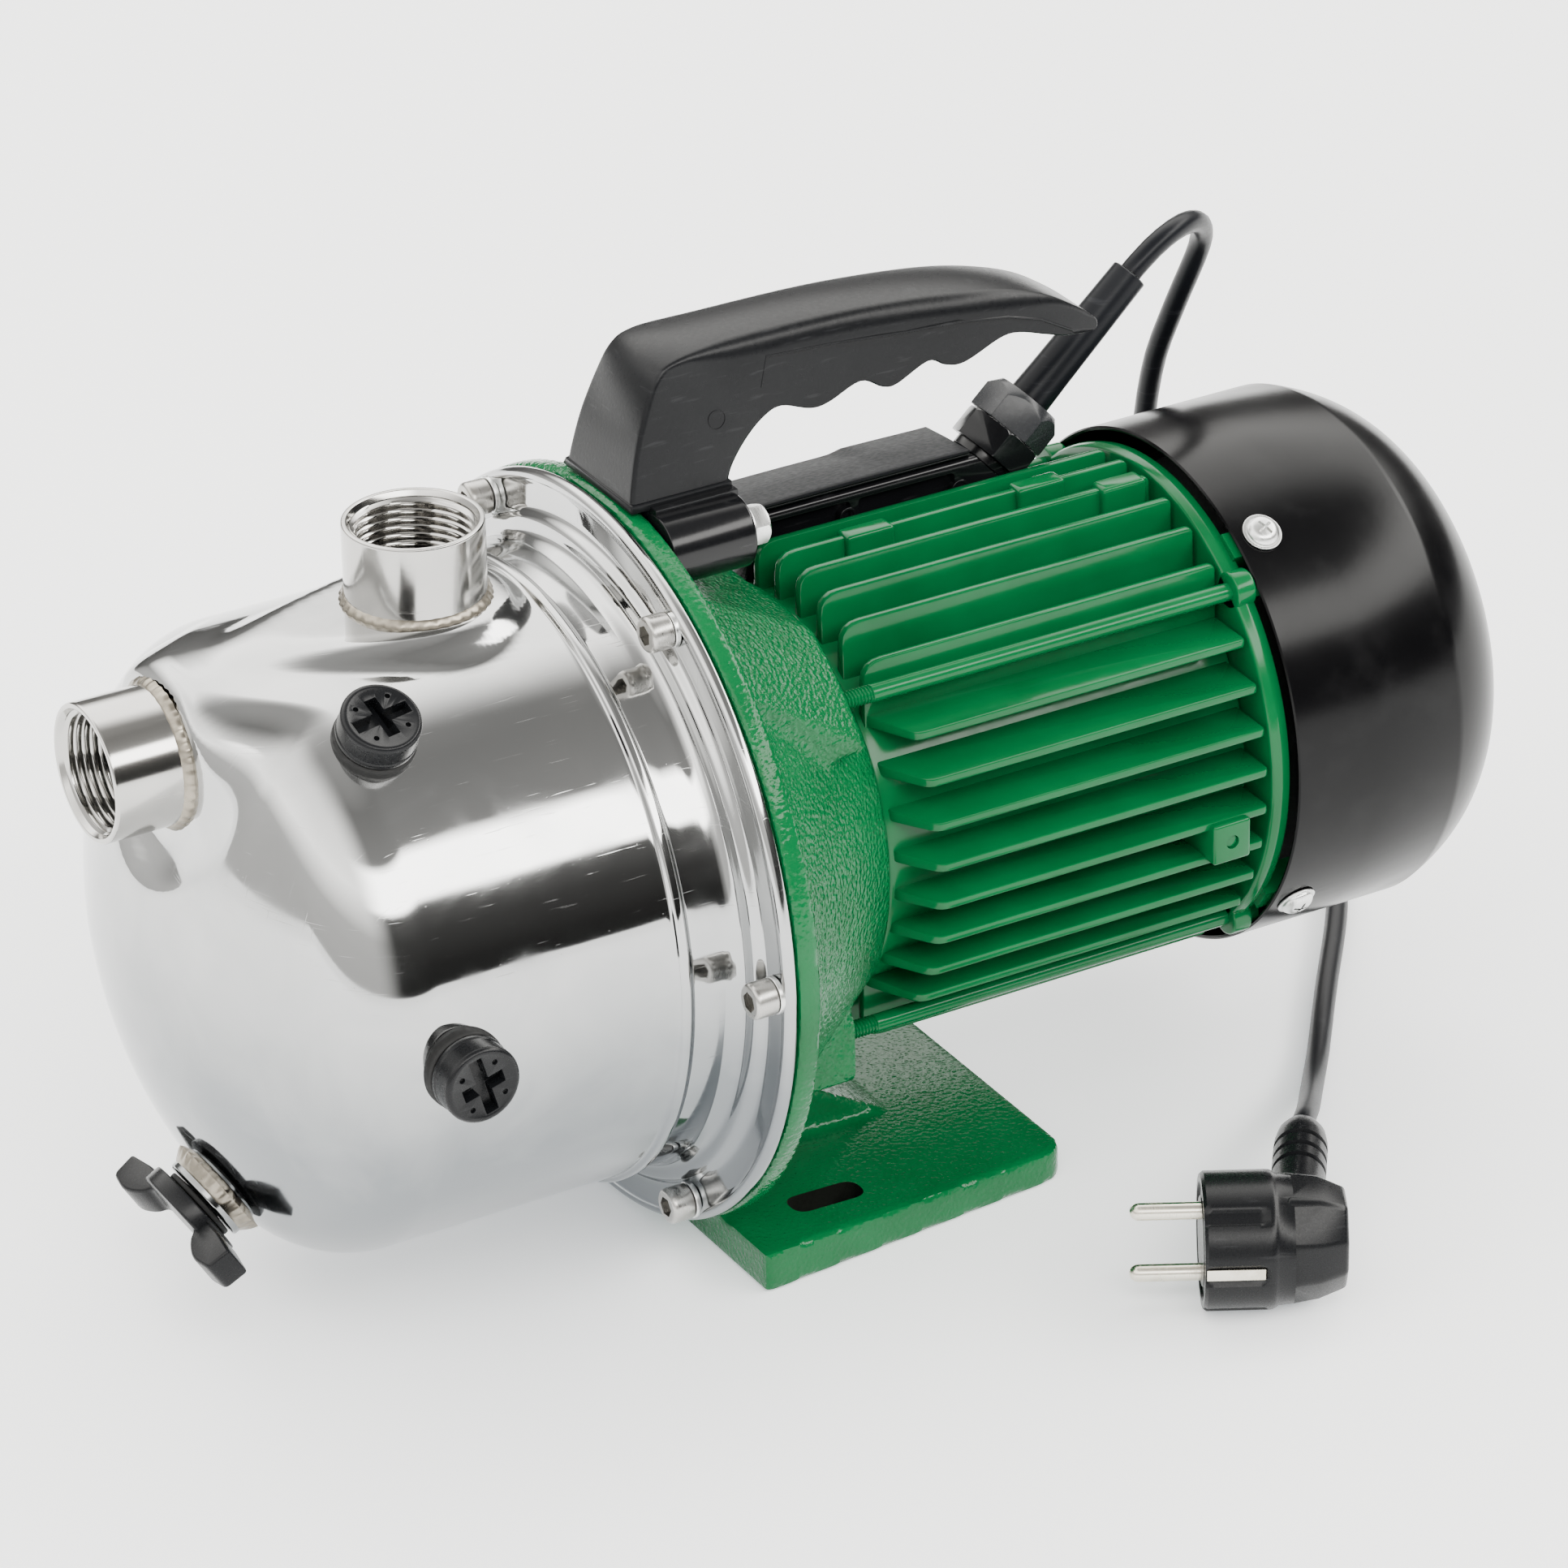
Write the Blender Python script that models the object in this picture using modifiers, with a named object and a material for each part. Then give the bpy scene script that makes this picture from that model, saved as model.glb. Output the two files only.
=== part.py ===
"""Shallow well jet pump: stainless pump body, cast bracket, finned motor, handle, mains lead.

Lengths below are millimetres and are turned into metres where a shape is made.
A point is written (s, y, h): s runs along the motor shaft from the joint between pump body
and bracket towards the fan, y runs across, h is the height above the shaft.
The world origin is under the middle of the foot plate, on the face that it stands on.
"""
import bmesh
import bpy
from math import acos, cos, degrees, pi, radians, sin, sqrt
from mathutils import Matrix, Vector

# ---------------------------------------------------------------- driving dimensions
MM = 0.001
AXIS_HEIGHT = 106.0          # shaft above the floor
FLANGE_X = -56.0             # joint face of body and bracket, from the world origin
GAP = 0.3                    # between pieces that touch
SEGMENTS = 36                # sides of a large turned piece
SMALL_SEGMENTS = 14          # sides of a small turned piece

BODY_R = 86.0
WALL = 2.0
KNUCKLE_R = 29.2
CROWN_R = 134.5
CYLINDER_START = -93.6
BODY_FLANGE_R = 104.0
SUCTION_H = 63.1
SUCTION_PAD_S = -128.5
SUCTION_END_S = -149.5
DISCHARGE_S = -52.9
DISCHARGE_PAD_H = 88.2
DISCHARGE_END_H = 110.5
PORT_R = 18.8                # outside of a G1 socket
PORT_BORE_R = 15.15          # minor radius of the G1 thread
PORT_MOUTH_R = 17.25

PLUG_HEAD_R = 10.8
PLUG_HEAD_LENGTH = 8.4
PLUG_SHANK_R = 6.0
PLUG_SHANK_LENGTH = 9.0
PLUG_SEAT_R = 86.6           # seat face of a plug boss, from the shaft
PLUG_BOSS_R = 9.5
FILL_PLUG_S = -88.4
FILL_PLUG_ANGLE = 30.0       # from the vertical, towards -y
SIDE_PLUG_S = -88.6
SIDE_PLUG_ANGLE = 90.0
DRAIN_POINT = (-119.8, 0.0, -69.5)
DRAIN_ANGLE = 31.5           # below the horizontal, towards -s
DRAIN_SOCKET_R = 12.5
DRAIN_SOCKET_OUT = 5.0

SCREW_CIRCLE_R = 98.0
SCREW_START_ANGLE = 29.0
FLANGE_SEAT_S = -3.4
BRACKET_R = 104.5
BRACKET_FLANGE = 6.5
BELL_END_S = 54.4
BELL_END_R = 59.2
FOOT_START_S = 6.5
FOOT_END_S = 107.0
FOOT_HALF_FRONT = 72.5
FOOT_HALF_REAR = 63.0
FOOT_FRONT_THICKNESS = 12.0
FOOT_REAR_THICKNESS = 9.5
SLOT_Y = 53.0
SLOT_START_S = 25.0
SLOT_END_S = 47.0
SLOT_R = 4.5
ROD_Y = 46.5
ROD_H = 50.0
ROD_R = 2.5

CORE_R = 57.0
BORE_R = 52.5
FIN_R = 70.0
FIN_THICKNESS = 2.4
FIN_START_S = 56.5
FIN_END_S = 167.0
SIDE_FIN_HEIGHTS = (5.7, 17.0, 28.4, 39.6)
TOP_FIN_START_Y = -41.0
FIN_PITCH = 11.0
TOP_FINS = 6
BOTTOM_FINS = 8
BOTTOM_FIN_START_Y = -38.5

SHAFT_R = 6.0
SHAFT_TIP_R = 5.0
BEARING_R = 16.0
SHIELD_S = 168.3
SHIELD_END_S = 174.3
SHIELD_R = 70.0
COVER_START_S = 174.7
COVER_SHOULDER_S = 226.7
COVER_END_S = 252.9
COVER_R = 73.5
COVER_WALL = 1.2
COVER_SCREW_S = 183.0
COVER_SCREW_ANGLES = (33.5, 125.5, 213.5, 305.5)

CLAMP_Y = 21.0
CLAMP_H = 94.0
CLAMP_R = 10.0
CLAMP_START_S = 7.1
CLAMP_END_S = 32.0
HANDLE_HALF_FOOT = 17.5
HANDLE_HALF_TOP = 13.0

BOX_START_S = 56.0
LID_START_S = 49.0
BOX_NEAR_Y = 17.0
BOX_FAR_Y = 57.0
BOX_BOTTOM_H = 54.8
BOX_NEAR_H = 75.8
LID_NEAR_H = 79.5
LID_FALL = 0.325             # how much the lid drops for each millimetre across
LID_THICKNESS = 3.0

GLAND_BASE = (136.4, 26.0, 70.3)
GLAND_ANGLE = 42.4           # above the horizontal, towards +s
GLAND_LENGTH = 19.0
SLEEVE_END = 63.2            # along the gland axis

CORD_R = 3.2
CORD_FLOOR_H = -AXIS_HEIGHT + CORD_R + 0.3
PLUG_FACE = (102.6, -136.3)  # middle of the plug's face, on the floor plan
PLUG_HEIGHT_H = -87.0        # axis of the plug, standing on the rim of its face
PLUG_FACE_R = 18.75
PLUG_PIN_ANGLE = 151.0       # direction of the pins in the floor plan, from +s towards +y
PLUG_LEAD_ANGLE = 54.0       # direction in which the lead leaves the plug
PLUG_LEAD_BACK = 24.7        # from the face back to the axis of the lead
PLUG_RELIEF_END = 58.2       # from the plug axis to the end of its strain relief
PIN_R = 2.4
PIN_LENGTH = 19.0
PIN_SPACING = 19.0

# Route of the mains lead from the bend sleeve to the plug, as (s, y, h).
CORD_ROUTE = [
    (191.0, 27.0, 118.2),
    (199.6, 29.8, 120.4),
    (207.8, 34.1, 119.4),
    (214.4, 39.2, 115.3),
    (218.5, 44.4, 108.8),
    (219.5, 48.9, 100.7),
    (218.6, 54.5, 88.9),
    (217.8, 60.0, 77.1),
    (217.6, 65.9, 64.5),
    (218.9, 72.2, 49.0),
    (221.3, 78.4, 31.0),
    (224.7, 83.3, 11.5),
    (229.2, 86.4, -8.5),
    (234.7, 88.0, -28.5),
    (241.2, 88.0, -48.0),
    (248.7, 85.8, -66.5),
    (256.2, 80.8, -82.3),
    (262.5, 72.8, -93.8),
    (266.0, 62.0, -100.3),
    (266.0, 50.0, CORD_FLOOR_H),
    (262.3, 38.0, CORD_FLOOR_H),
    (255.8, 26.0, CORD_FLOOR_H),
    (247.0, 13.5, CORD_FLOOR_H),
    (237.0, 0.5, CORD_FLOOR_H),
    (225.5, -14.0, CORD_FLOOR_H),
    (212.8, -30.5, CORD_FLOOR_H),
    (200.3, -47.0, -102.2),
    (189.0, -61.5, -100.3),
    (178.8, -75.0, -96.3),
    (169.2, -88.0, -91.2),
]


# ---------------------------------------------------------------- scene and materials
def clear_scene():
    for item in list(bpy.data.objects):
        bpy.data.objects.remove(item, do_unlink=True)


def new_collection(name):
    collection = bpy.data.collections.new(name)
    bpy.context.scene.collection.children.link(collection)
    return collection


def new_material(name, colour, roughness, metallic):
    material = bpy.data.materials.new(name)
    material.use_nodes = True
    shader = material.node_tree.nodes["Principled BSDF"]
    shader.inputs["Base Color"].default_value = (*colour, 1.0)
    shader.inputs["Roughness"].default_value = roughness
    shader.inputs["Metallic"].default_value = metallic
    material.diffuse_color = (*colour, 1.0)
    return material


clear_scene()
PARTS = new_collection("shallow_well_jet_pump")
CUTTERS = new_collection("cutters")

STAINLESS = new_material("stainless", (0.78, 0.76, 0.72), 0.15, 1.0)
GREEN = new_material("green_enamel", (0.01, 0.36, 0.14), 0.38, 0.0)
BLACK_PLASTIC = new_material("black_plastic", (0.02, 0.021, 0.024), 0.45, 0.0)
BLACK_STEEL = new_material("black_steel", (0.015, 0.015, 0.016), 0.3, 0.4)
ZINC = new_material("zinc_steel", (0.7, 0.7, 0.68), 0.3, 1.0)
STEEL = new_material("steel", (0.55, 0.55, 0.56), 0.3, 1.0)
BRASS = new_material("brass", (0.72, 0.5, 0.18), 0.3, 1.0)
NICKEL = new_material("nickel", (0.75, 0.72, 0.66), 0.2, 1.0)
COPPER = new_material("copper", (0.7, 0.28, 0.12), 0.4, 1.0)
RUBBER = new_material("rubber", (0.015, 0.015, 0.015), 0.8, 0.0)
CERAMIC = new_material("ceramic", (0.85, 0.83, 0.78), 0.3, 0.0)
GREY_PLASTIC = new_material("grey_plastic", (0.25, 0.26, 0.27), 0.5, 0.0)


# ---------------------------------------------------------------- shape helpers
def at(s, y, h):
    """World position in metres of a point given as (s, y, h)."""
    return Vector((FLANGE_X + s, y, AXIS_HEIGHT + h)) * MM


ALONG = Vector((1.0, 0.0, 0.0))
UP = Vector((0.0, 0.0, 1.0))


def around(angle):
    """Unit vector across the shaft, at an angle from the vertical towards -y."""
    return Vector((0.0, -sin(radians(angle)), cos(radians(angle))))


def on_circle(s, radius, angle):
    direction = around(angle)
    return (s, radius * direction.y, radius * direction.z)


def add_object(name, mesh, material, matrix):
    item = bpy.data.objects.new(name, mesh)
    item.matrix_world = matrix
    if material is None:
        CUTTERS.objects.link(item)
        item.hide_render = True
        item.display_type = "WIRE"
    else:
        PARTS.objects.link(item)
        mesh.materials.append(material)
    return item


def frame_matrix(point, axis, quarter=None):
    """Matrix whose local z is the axis and whose local x leans towards the quarter vector."""
    z = Vector(axis).normalized()
    guide = Vector(quarter) if quarter is not None else (UP if abs(z.z) < 0.9 else ALONG)
    y = z.cross(guide).normalized()
    x = y.cross(z)
    rotation = Matrix((x, y, z)).transposed().to_4x4()
    return Matrix.Translation(at(*point)) @ rotation


def arc(centre_along, centre_r, radius, start, end, count):
    """Profile points on an arc, angles in degrees from the +along direction."""
    points = []
    for index in range(count + 1):
        angle = radians(start + (end - start) * index / count)
        points.append((centre_along + radius * cos(angle), centre_r + radius * sin(angle)))
    return points


def turned(name, outline, material, point=(0.0, 0.0, 0.0), axis=ALONG, segments=SEGMENTS):
    """Solid of revolution from (along, radius) points about an axis through a point."""
    area = 0.0
    for (a0, r0), (a1, r1) in zip(outline, outline[1:] + outline[:1]):
        area += r0 * a1 - r1 * a0
    points = list(reversed(outline)) if area > 0.0 else list(outline)
    mesh = bpy.data.meshes.new(name)
    shape = bmesh.new()
    vertices = [shape.verts.new((r * MM, 0.0, a * MM)) for a, r in points]
    for first, second in zip(vertices, vertices[1:]):
        shape.edges.new((first, second))
    if points[0][1] > 0.0 or points[-1][1] > 0.0:
        shape.edges.new((vertices[-1], vertices[0]))
    shape.to_mesh(mesh)
    shape.free()
    item = add_object(name, mesh, material, frame_matrix(point, axis))
    screw = item.modifiers.new("turn", "SCREW")
    screw.axis = "Z"
    screw.angle = 2.0 * pi
    screw.steps = segments
    screw.render_steps = segments
    screw.use_merge_vertices = True
    screw.merge_threshold = 0.000001
    screw.use_smooth_shade = True
    return item


def rod(name, radius, start, end, material=None, point=(0.0, 0.0, 0.0), axis=ALONG,
        segments=SMALL_SEGMENTS, end_radius=None, quarter=None):
    """Closed cylinder or cone between two places along an axis."""
    tip = radius if end_radius is None else end_radius
    mesh = bpy.data.meshes.new(name)
    shape = bmesh.new()
    middle = Matrix.Translation((0.0, 0.0, 0.5 * (start + end) * MM))
    bmesh.ops.create_cone(shape, cap_ends=True, cap_tris=False, segments=segments,
                          radius1=radius * MM, radius2=tip * MM, depth=(end - start) * MM, matrix=middle)
    shape.to_mesh(mesh)
    shape.free()
    if segments > 8:
        mesh.shade_smooth()
        mesh.set_sharp_from_angle(angle=radians(35.0))
    return add_object(name, mesh, material, frame_matrix(point, axis, quarter))


def block(name, low, high, material=None, matrix=None):
    """Box between two (s, y, h) corners, or between local corners of a matrix."""
    low = Vector(low)
    high = Vector(high)
    mesh = bpy.data.meshes.new(name)
    shape = bmesh.new()
    size = Matrix.Diagonal((*((high - low) * MM), 1.0))
    bmesh.ops.create_cube(shape, size=1.0, matrix=Matrix.Translation((low + high) * 0.5 * MM) @ size)
    shape.to_mesh(mesh)
    shape.free()
    return add_object(name, mesh, material, matrix if matrix else Matrix.Translation(at(0.0, 0.0, 0.0)))


def blocks(name, corners, matrix=None):
    """Several separate boxes in one guide object."""
    mesh = bpy.data.meshes.new(name)
    shape = bmesh.new()
    for low, high in corners:
        low = Vector(low)
        high = Vector(high)
        size = Matrix.Diagonal((*((high - low) * MM), 1.0))
        bmesh.ops.create_cube(shape, size=1.0, matrix=Matrix.Translation((low + high) * 0.5 * MM) @ size)
    shape.to_mesh(mesh)
    shape.free()
    return add_object(name, mesh, None, matrix if matrix else Matrix.Translation(at(0.0, 0.0, 0.0)))


def wedge(name, low, high, lowered_rear=0.0, narrowed_rear=0.0):
    """Box between two (s, y, h) corners whose top drops and whose sides close in towards +s."""
    item = block(name, low, high)
    for vertex in item.data.vertices:
        if vertex.co.x > 0.5 * (low[0] + high[0]) * MM:
            if vertex.co.z > 0.5 * (low[2] + high[2]) * MM:
                vertex.co.z -= lowered_rear * MM
            middle = 0.5 * (low[1] + high[1]) * MM
            side = 1.0 if vertex.co.y > middle else -1.0
            vertex.co.y -= side * narrowed_rear * MM
    return item


def mesh_from_curve(item, name, material):
    """Mesh copy of a curve object with its caps welded; the curve is removed."""
    view_layer = bpy.context.view_layer
    view_layer.update()
    evaluated = item.evaluated_get(bpy.context.evaluated_depsgraph_get())
    mesh = bpy.data.meshes.new_from_object(evaluated)
    mesh.name = name
    shape = bmesh.new()
    shape.from_mesh(mesh)
    bmesh.ops.remove_doubles(shape, verts=shape.verts, dist=0.000001)
    bmesh.ops.recalc_face_normals(shape, faces=shape.faces)
    shape.to_mesh(mesh)
    shape.free()
    matrix = item.matrix_world.copy()
    bpy.data.objects.remove(item, do_unlink=True)
    mesh.materials.clear()
    return add_object(name, mesh, material, matrix)


def plate(name, outline, thickness, matrix, material=None):
    """Flat outline in the matrix's local x-y plane, thickened evenly to both sides."""
    curve = bpy.data.curves.new(name + "_outline", "CURVE")
    curve.dimensions = "2D"
    curve.fill_mode = "BOTH"
    curve.extrude = 0.5 * thickness * MM
    spline = curve.splines.new("POLY")
    spline.points.add(len(outline) - 1)
    for point, (x, y) in zip(spline.points, outline):
        point.co = (x * MM, y * MM, 0.0, 1.0)
    spline.use_cyclic_u = True
    item = bpy.data.objects.new(name + "_outline", curve)
    CUTTERS.objects.link(item)
    item.matrix_world = matrix
    return mesh_from_curve(item, name, material)


def side_matrix(y=0.0):
    """Local x along the shaft, local y up: for outlines seen from the side."""
    rotation = Matrix(((1.0, 0.0, 0.0), (0.0, 0.0, -1.0), (0.0, 1.0, 0.0))).to_4x4()
    return Matrix.Translation(at(0.0, y, 0.0)) @ rotation


def floor_matrix(h):
    """Local x along the shaft, local y across: for outlines seen from above."""
    return Matrix.Translation(at(0.0, 0.0, h))


def boolean(item, other, operation):
    step = item.modifiers.new(other.name, "BOOLEAN")
    step.operation = operation
    step.solver = "EXACT"
    step.object = other


def cut(item, *cutters):
    for cutter in cutters:
        boolean(item, cutter, "DIFFERENCE")


def join(item, *others):
    for other in others:
        boolean(item, other, "UNION")


def ease(item, width, segments=1, angle=40.0):
    """Bevel on the edges sharper than an angle."""
    bevel = item.modifiers.new("ease", "BEVEL")
    bevel.width = width * MM
    bevel.segments = segments
    bevel.limit_method = "ANGLE"
    bevel.angle_limit = radians(angle)


# ---------------------------------------------------------------- pump body and its fittings
def dome_outline(inset, steps):
    """Half outline of the dome from its apex to the start of the cylinder."""
    crown_centre = CYLINDER_START + sqrt((CROWN_R - KNUCKLE_R) ** 2 - (BODY_R - KNUCKLE_R) ** 2)
    meet = degrees(acos((crown_centre - CYLINDER_START) / (CROWN_R - KNUCKLE_R)))
    crown = arc(crown_centre, 0.0, CROWN_R - inset, 180.0, 180.0 - meet, steps)
    crown[0] = (crown[0][0], 0.0)
    knuckle = arc(CYLINDER_START, BODY_R - KNUCKLE_R, KNUCKLE_R - inset, 180.0 - meet, 90.0, steps)
    return crown + knuckle[1:]


def pump_body():
    """Deep-drawn shell with a beaded cylinder, a stepped flange and pressed seats for the ports."""
    outer = dome_outline(0.0, 4)
    outer += [(-26.5, BODY_R), (-25.0, 87.2), (-22.5, 87.2), (-21.0, BODY_R), (-9.0, BODY_R)]
    outer += [(-6.3, 88.6), (-6.3, 91.6), (FLANGE_SEAT_S, 92.8)]
    outer += [(FLANGE_SEAT_S, 101.5), (-2.4, 103.4), (-GAP, BODY_FLANGE_R), (-GAP, 0.0)]
    inner = dome_outline(WALL, 3)
    inner += [(-7.0, BODY_R - WALL), (-4.3, 87.0), (-4.3, 90.2), (-1.4, 91.4), (-1.4, 102.0)]
    inner += [(4.0, 102.4), (4.0, 0.0)]
    body = turned("pump_body", outer, STAINLESS)
    hollow = turned("body_hollow", inner, None)
    suction = (0.0, 0.0, SUCTION_H)
    discharge = (DISCHARGE_S, 0.0, 0.0)
    nose = rod("suction_nose", 24.0, SUCTION_PAD_S - 1.0, -104.0, point=suction, segments=24)
    facing = rod("suction_facing", 25.0, SUCTION_END_S, SUCTION_PAD_S, point=suction, segments=24)
    nose_hollow = rod("nose_hollow", 22.0, SUCTION_PAD_S + WALL, -100.0, point=suction, segments=24)
    collar = rod("discharge_collar", 20.4, 80.0, DISCHARGE_PAD_H, point=discharge, axis=UP, segments=24)
    suction_hole = rod("suction_hole", PORT_BORE_R, -140.0, -120.0, point=suction)
    discharge_hole = rod("discharge_hole", PORT_BORE_R, 60.0, 95.0, point=discharge, axis=UP)
    join(body, nose, collar)
    cut(body, facing, hollow, nose_hollow, discharge_hole, suction_hole)
    for name, s, angle in (("fill", FILL_PLUG_S, FILL_PLUG_ANGLE), ("side", SIDE_PLUG_S, SIDE_PLUG_ANGLE)):
        place = {"point": (s, 0.0, 0.0), "axis": around(angle)}
        join(body, rod(name + "_boss", PLUG_BOSS_R, 79.0, PLUG_SEAT_R, **place))
        cut(body, rod(name + "_hole", PLUG_SHANK_R + GAP, 70.0, 95.0, **place))
    cut(body, rod("drain_hole", DRAIN_SOCKET_R + GAP, -12.0, 12.0, point=DRAIN_POINT, axis=drain_axis(),
                  segments=20))


def port(name, point, axis, start, end):
    """Screwed socket with a weld bead at its base and a bevelled mouth."""
    outline = [(start, PORT_BORE_R), (start, 20.6), (start + 1.6, 20.4), (start + 2.4, PORT_R),
               (end, PORT_R), (end, PORT_MOUTH_R), (end - 2.2, PORT_BORE_R)]
    turned(name, outline, STAINLESS, point=point, axis=axis, segments=24)


def drain_axis():
    return Vector((-cos(radians(DRAIN_ANGLE)), 0.0, -sin(radians(DRAIN_ANGLE))))


def round_plug(name, s, angle, cross_turn):
    """Black plug with a cross recess, its seal, and its shank through the boss."""
    axis = around(angle)
    base = (s, 0.0, 0.0)
    seal_start = PLUG_SEAT_R + GAP
    seal_end = seal_start + 1.4
    seal = [(seal_start, 6.6), (seal_start, 9.2), (seal_end, 9.2), (seal_end, 6.6)]
    turned(name + "_seal", seal, RUBBER, point=base, axis=axis, segments=SMALL_SEGMENTS)
    head = seal_end + GAP
    top = head + PLUG_HEAD_LENGTH
    outline = [(head - PLUG_SHANK_LENGTH, 0.0), (head - PLUG_SHANK_LENGTH, PLUG_SHANK_R),
               (head, PLUG_SHANK_R), (head, PLUG_HEAD_R), (top - 0.9, PLUG_HEAD_R),
               (top, PLUG_HEAD_R - 0.9), (top, 0.0)]
    plug = turned(name, outline, BLACK_PLASTIC, point=base, axis=axis, segments=20)
    turn = Matrix.Rotation(radians(cross_turn), 4, "Z")
    matrix = frame_matrix(base, axis) @ turn
    long_arm = block(name + "_long_arm", (-8.25, -1.8, top - 4.5), (8.25, 1.8, top + 1.0), matrix=matrix)
    short_arm = block(name + "_short_arm", (-1.8, -6.0, top - 4.5), (1.8, 6.0, top + 1.0), matrix=matrix)
    cut(plug, long_arm, short_arm)


def drain():
    axis = drain_axis()
    socket = [(-9.0, 6.3), (-9.0, DRAIN_SOCKET_R), (DRAIN_SOCKET_OUT, DRAIN_SOCKET_R), (DRAIN_SOCKET_OUT, 6.3)]
    turned("drain_socket", socket, STAINLESS, point=DRAIN_POINT, axis=axis, segments=20)
    start = DRAIN_SOCKET_OUT + GAP
    seal = [(start, 6.6), (start, 10.8), (start + 1.6, 10.8), (start + 1.6, 6.6)]
    turned("drain_plug_seal", seal, RUBBER, point=DRAIN_POINT, axis=axis, segments=SMALL_SEGMENTS)
    head = start + 1.6 + GAP
    outline = [(head - 12.0, 0.0), (head - 12.0, PLUG_SHANK_R), (head, PLUG_SHANK_R), (head, 14.8),
               (head + 5.0, 14.8), (head + 5.0, 0.0)]
    plug = turned("drain_plug", outline, BLACK_PLASTIC, point=DRAIN_POINT, axis=axis, segments=20)
    matrix = frame_matrix(DRAIN_POINT, axis)
    wings = block("drain_wings", (-5.0, -29.0, head + 1.5), (5.0, 29.0, head + 11.0), matrix=matrix)
    ease(wings, 1.6)
    join(plug, wings)


# ---------------------------------------------------------------- hydraulics inside the body
def ejector():
    """Suction elbow and venturi tube moulded in one piece, with its brass nozzle."""
    elbow = turned("ejector", [(-124.0, 0.0), (-124.0, 13.0), (-96.0, 13.0), (-88.0, 9.0), (-40.0, 12.0),
                               (-40.0, 0.0)], GREY_PLASTIC, segments=16)
    way = turned("ejector_way", [(-130.0, 0.0), (-130.0, 8.7), (-117.0, 8.7), (-115.0, 10.4),
                                 (-99.0, 10.4), (-92.0, 4.5), (-84.0, 4.5), (-40.0, 8.0), (-36.0, 8.0),
                                 (-36.0, 0.0)], None, segments=16)
    leg = rod("ejector_leg", 11.0, 6.0, 76.0, point=(-107.0, 0.0, 0.0), axis=UP)
    inlet = rod("ejector_inlet", 14.6, -125.8, -107.0, point=(0.0, 0.0, SUCTION_H))
    leg_bore = rod("ejector_leg_bore", 8.5, 0.0, 70.0, point=(-107.0, 0.0, 0.0), axis=UP)
    inlet_bore = rod("ejector_inlet_bore", 11.0, -130.0, -110.0, point=(0.0, 0.0, SUCTION_H))
    join(elbow, leg, inlet)
    cut(elbow, way, leg_bore, inlet_bore)
    nozzle = [(-126.5, 5.0), (-126.5, 11.0), (-124.3, 11.0), (-124.3, 8.3), (-112.0, 8.3), (-98.0, 4.2),
              (-98.0, 3.0), (-112.0, 5.0)]
    turned("ejector_nozzle", nozzle, BRASS, segments=16)


def diffuser():
    outline = [(-37.5, 12.4), (-37.5, 19.0), (-34.0, 20.0), (-34.0, 72.0), (-6.0, 72.0), (-6.0, 69.0),
               (-31.0, 69.0), (-31.0, 17.2), (-36.0, 17.2), (-36.0, 12.4)]
    cup = turned("diffuser", outline, GREY_PLASTIC, segments=24)
    for index in range(3):
        matrix = Matrix.Translation(at(0.0, 0.0, 0.0)) @ Matrix.Rotation(radians(60.0 * index), 4, "X")
        cut(cup, block("diffuser_slots_%d" % index, (-26.0, -12.0, -80.0), (-10.0, 12.0, 80.0), matrix=matrix))


def impeller():
    outline = [(-14.0, 5.3), (-14.0, 60.0), (-16.2, 60.0), (-16.2, 12.0), (-28.0, 8.0), (-28.0, 5.3)]
    wheel = turned("impeller", outline, BRASS, segments=20)
    front = turned("impeller_front", [(-21.0, 60.0), (-23.0, 60.0), (-25.5, 16.6), (-34.0, 16.6),
                                      (-34.0, 14.2), (-23.5, 14.2), (-23.5, 16.0)], None, segments=20)
    vanes = []
    for index in range(6):
        turn = Matrix.Rotation(radians(60.0 * index), 4, "X") @ Matrix.Translation((0.0, 0.006, 0.0))
        matrix = Matrix.Translation(at(0.0, 0.0, 0.0)) @ turn @ Matrix.Rotation(radians(-28.0), 4, "X")
        vanes.append(block("impeller_vane_%d" % index, (-22.4, -1.0, 17.0), (-15.0, 1.0, 55.0), matrix=matrix))
    for vane in vanes:
        join(wheel, vane)
    join(wheel, front)


def shaft_seal():
    turned("seal_ring", [(-13.6, 5.3), (-13.6, 9.5), (-9.0, 11.0), (-5.1, 11.0), (-5.1, 5.3)], RUBBER,
           segments=16)
    turned("seal_seat", [(-4.8, 6.4), (-4.8, 12.5), (-0.3, 12.5), (-0.3, 6.4)], CERAMIC, segments=16)
    turned("back_plate", [(-3.6, 12.8), (-3.6, 83.4), (-0.3, 83.4), (-0.3, 12.8)], STAINLESS, segments=24)
    turned("body_gasket", [(-4.0, 84.4), (-4.0, 89.8), (-0.3, 89.8), (-0.3, 84.4)], RUBBER, segments=28)


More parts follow.
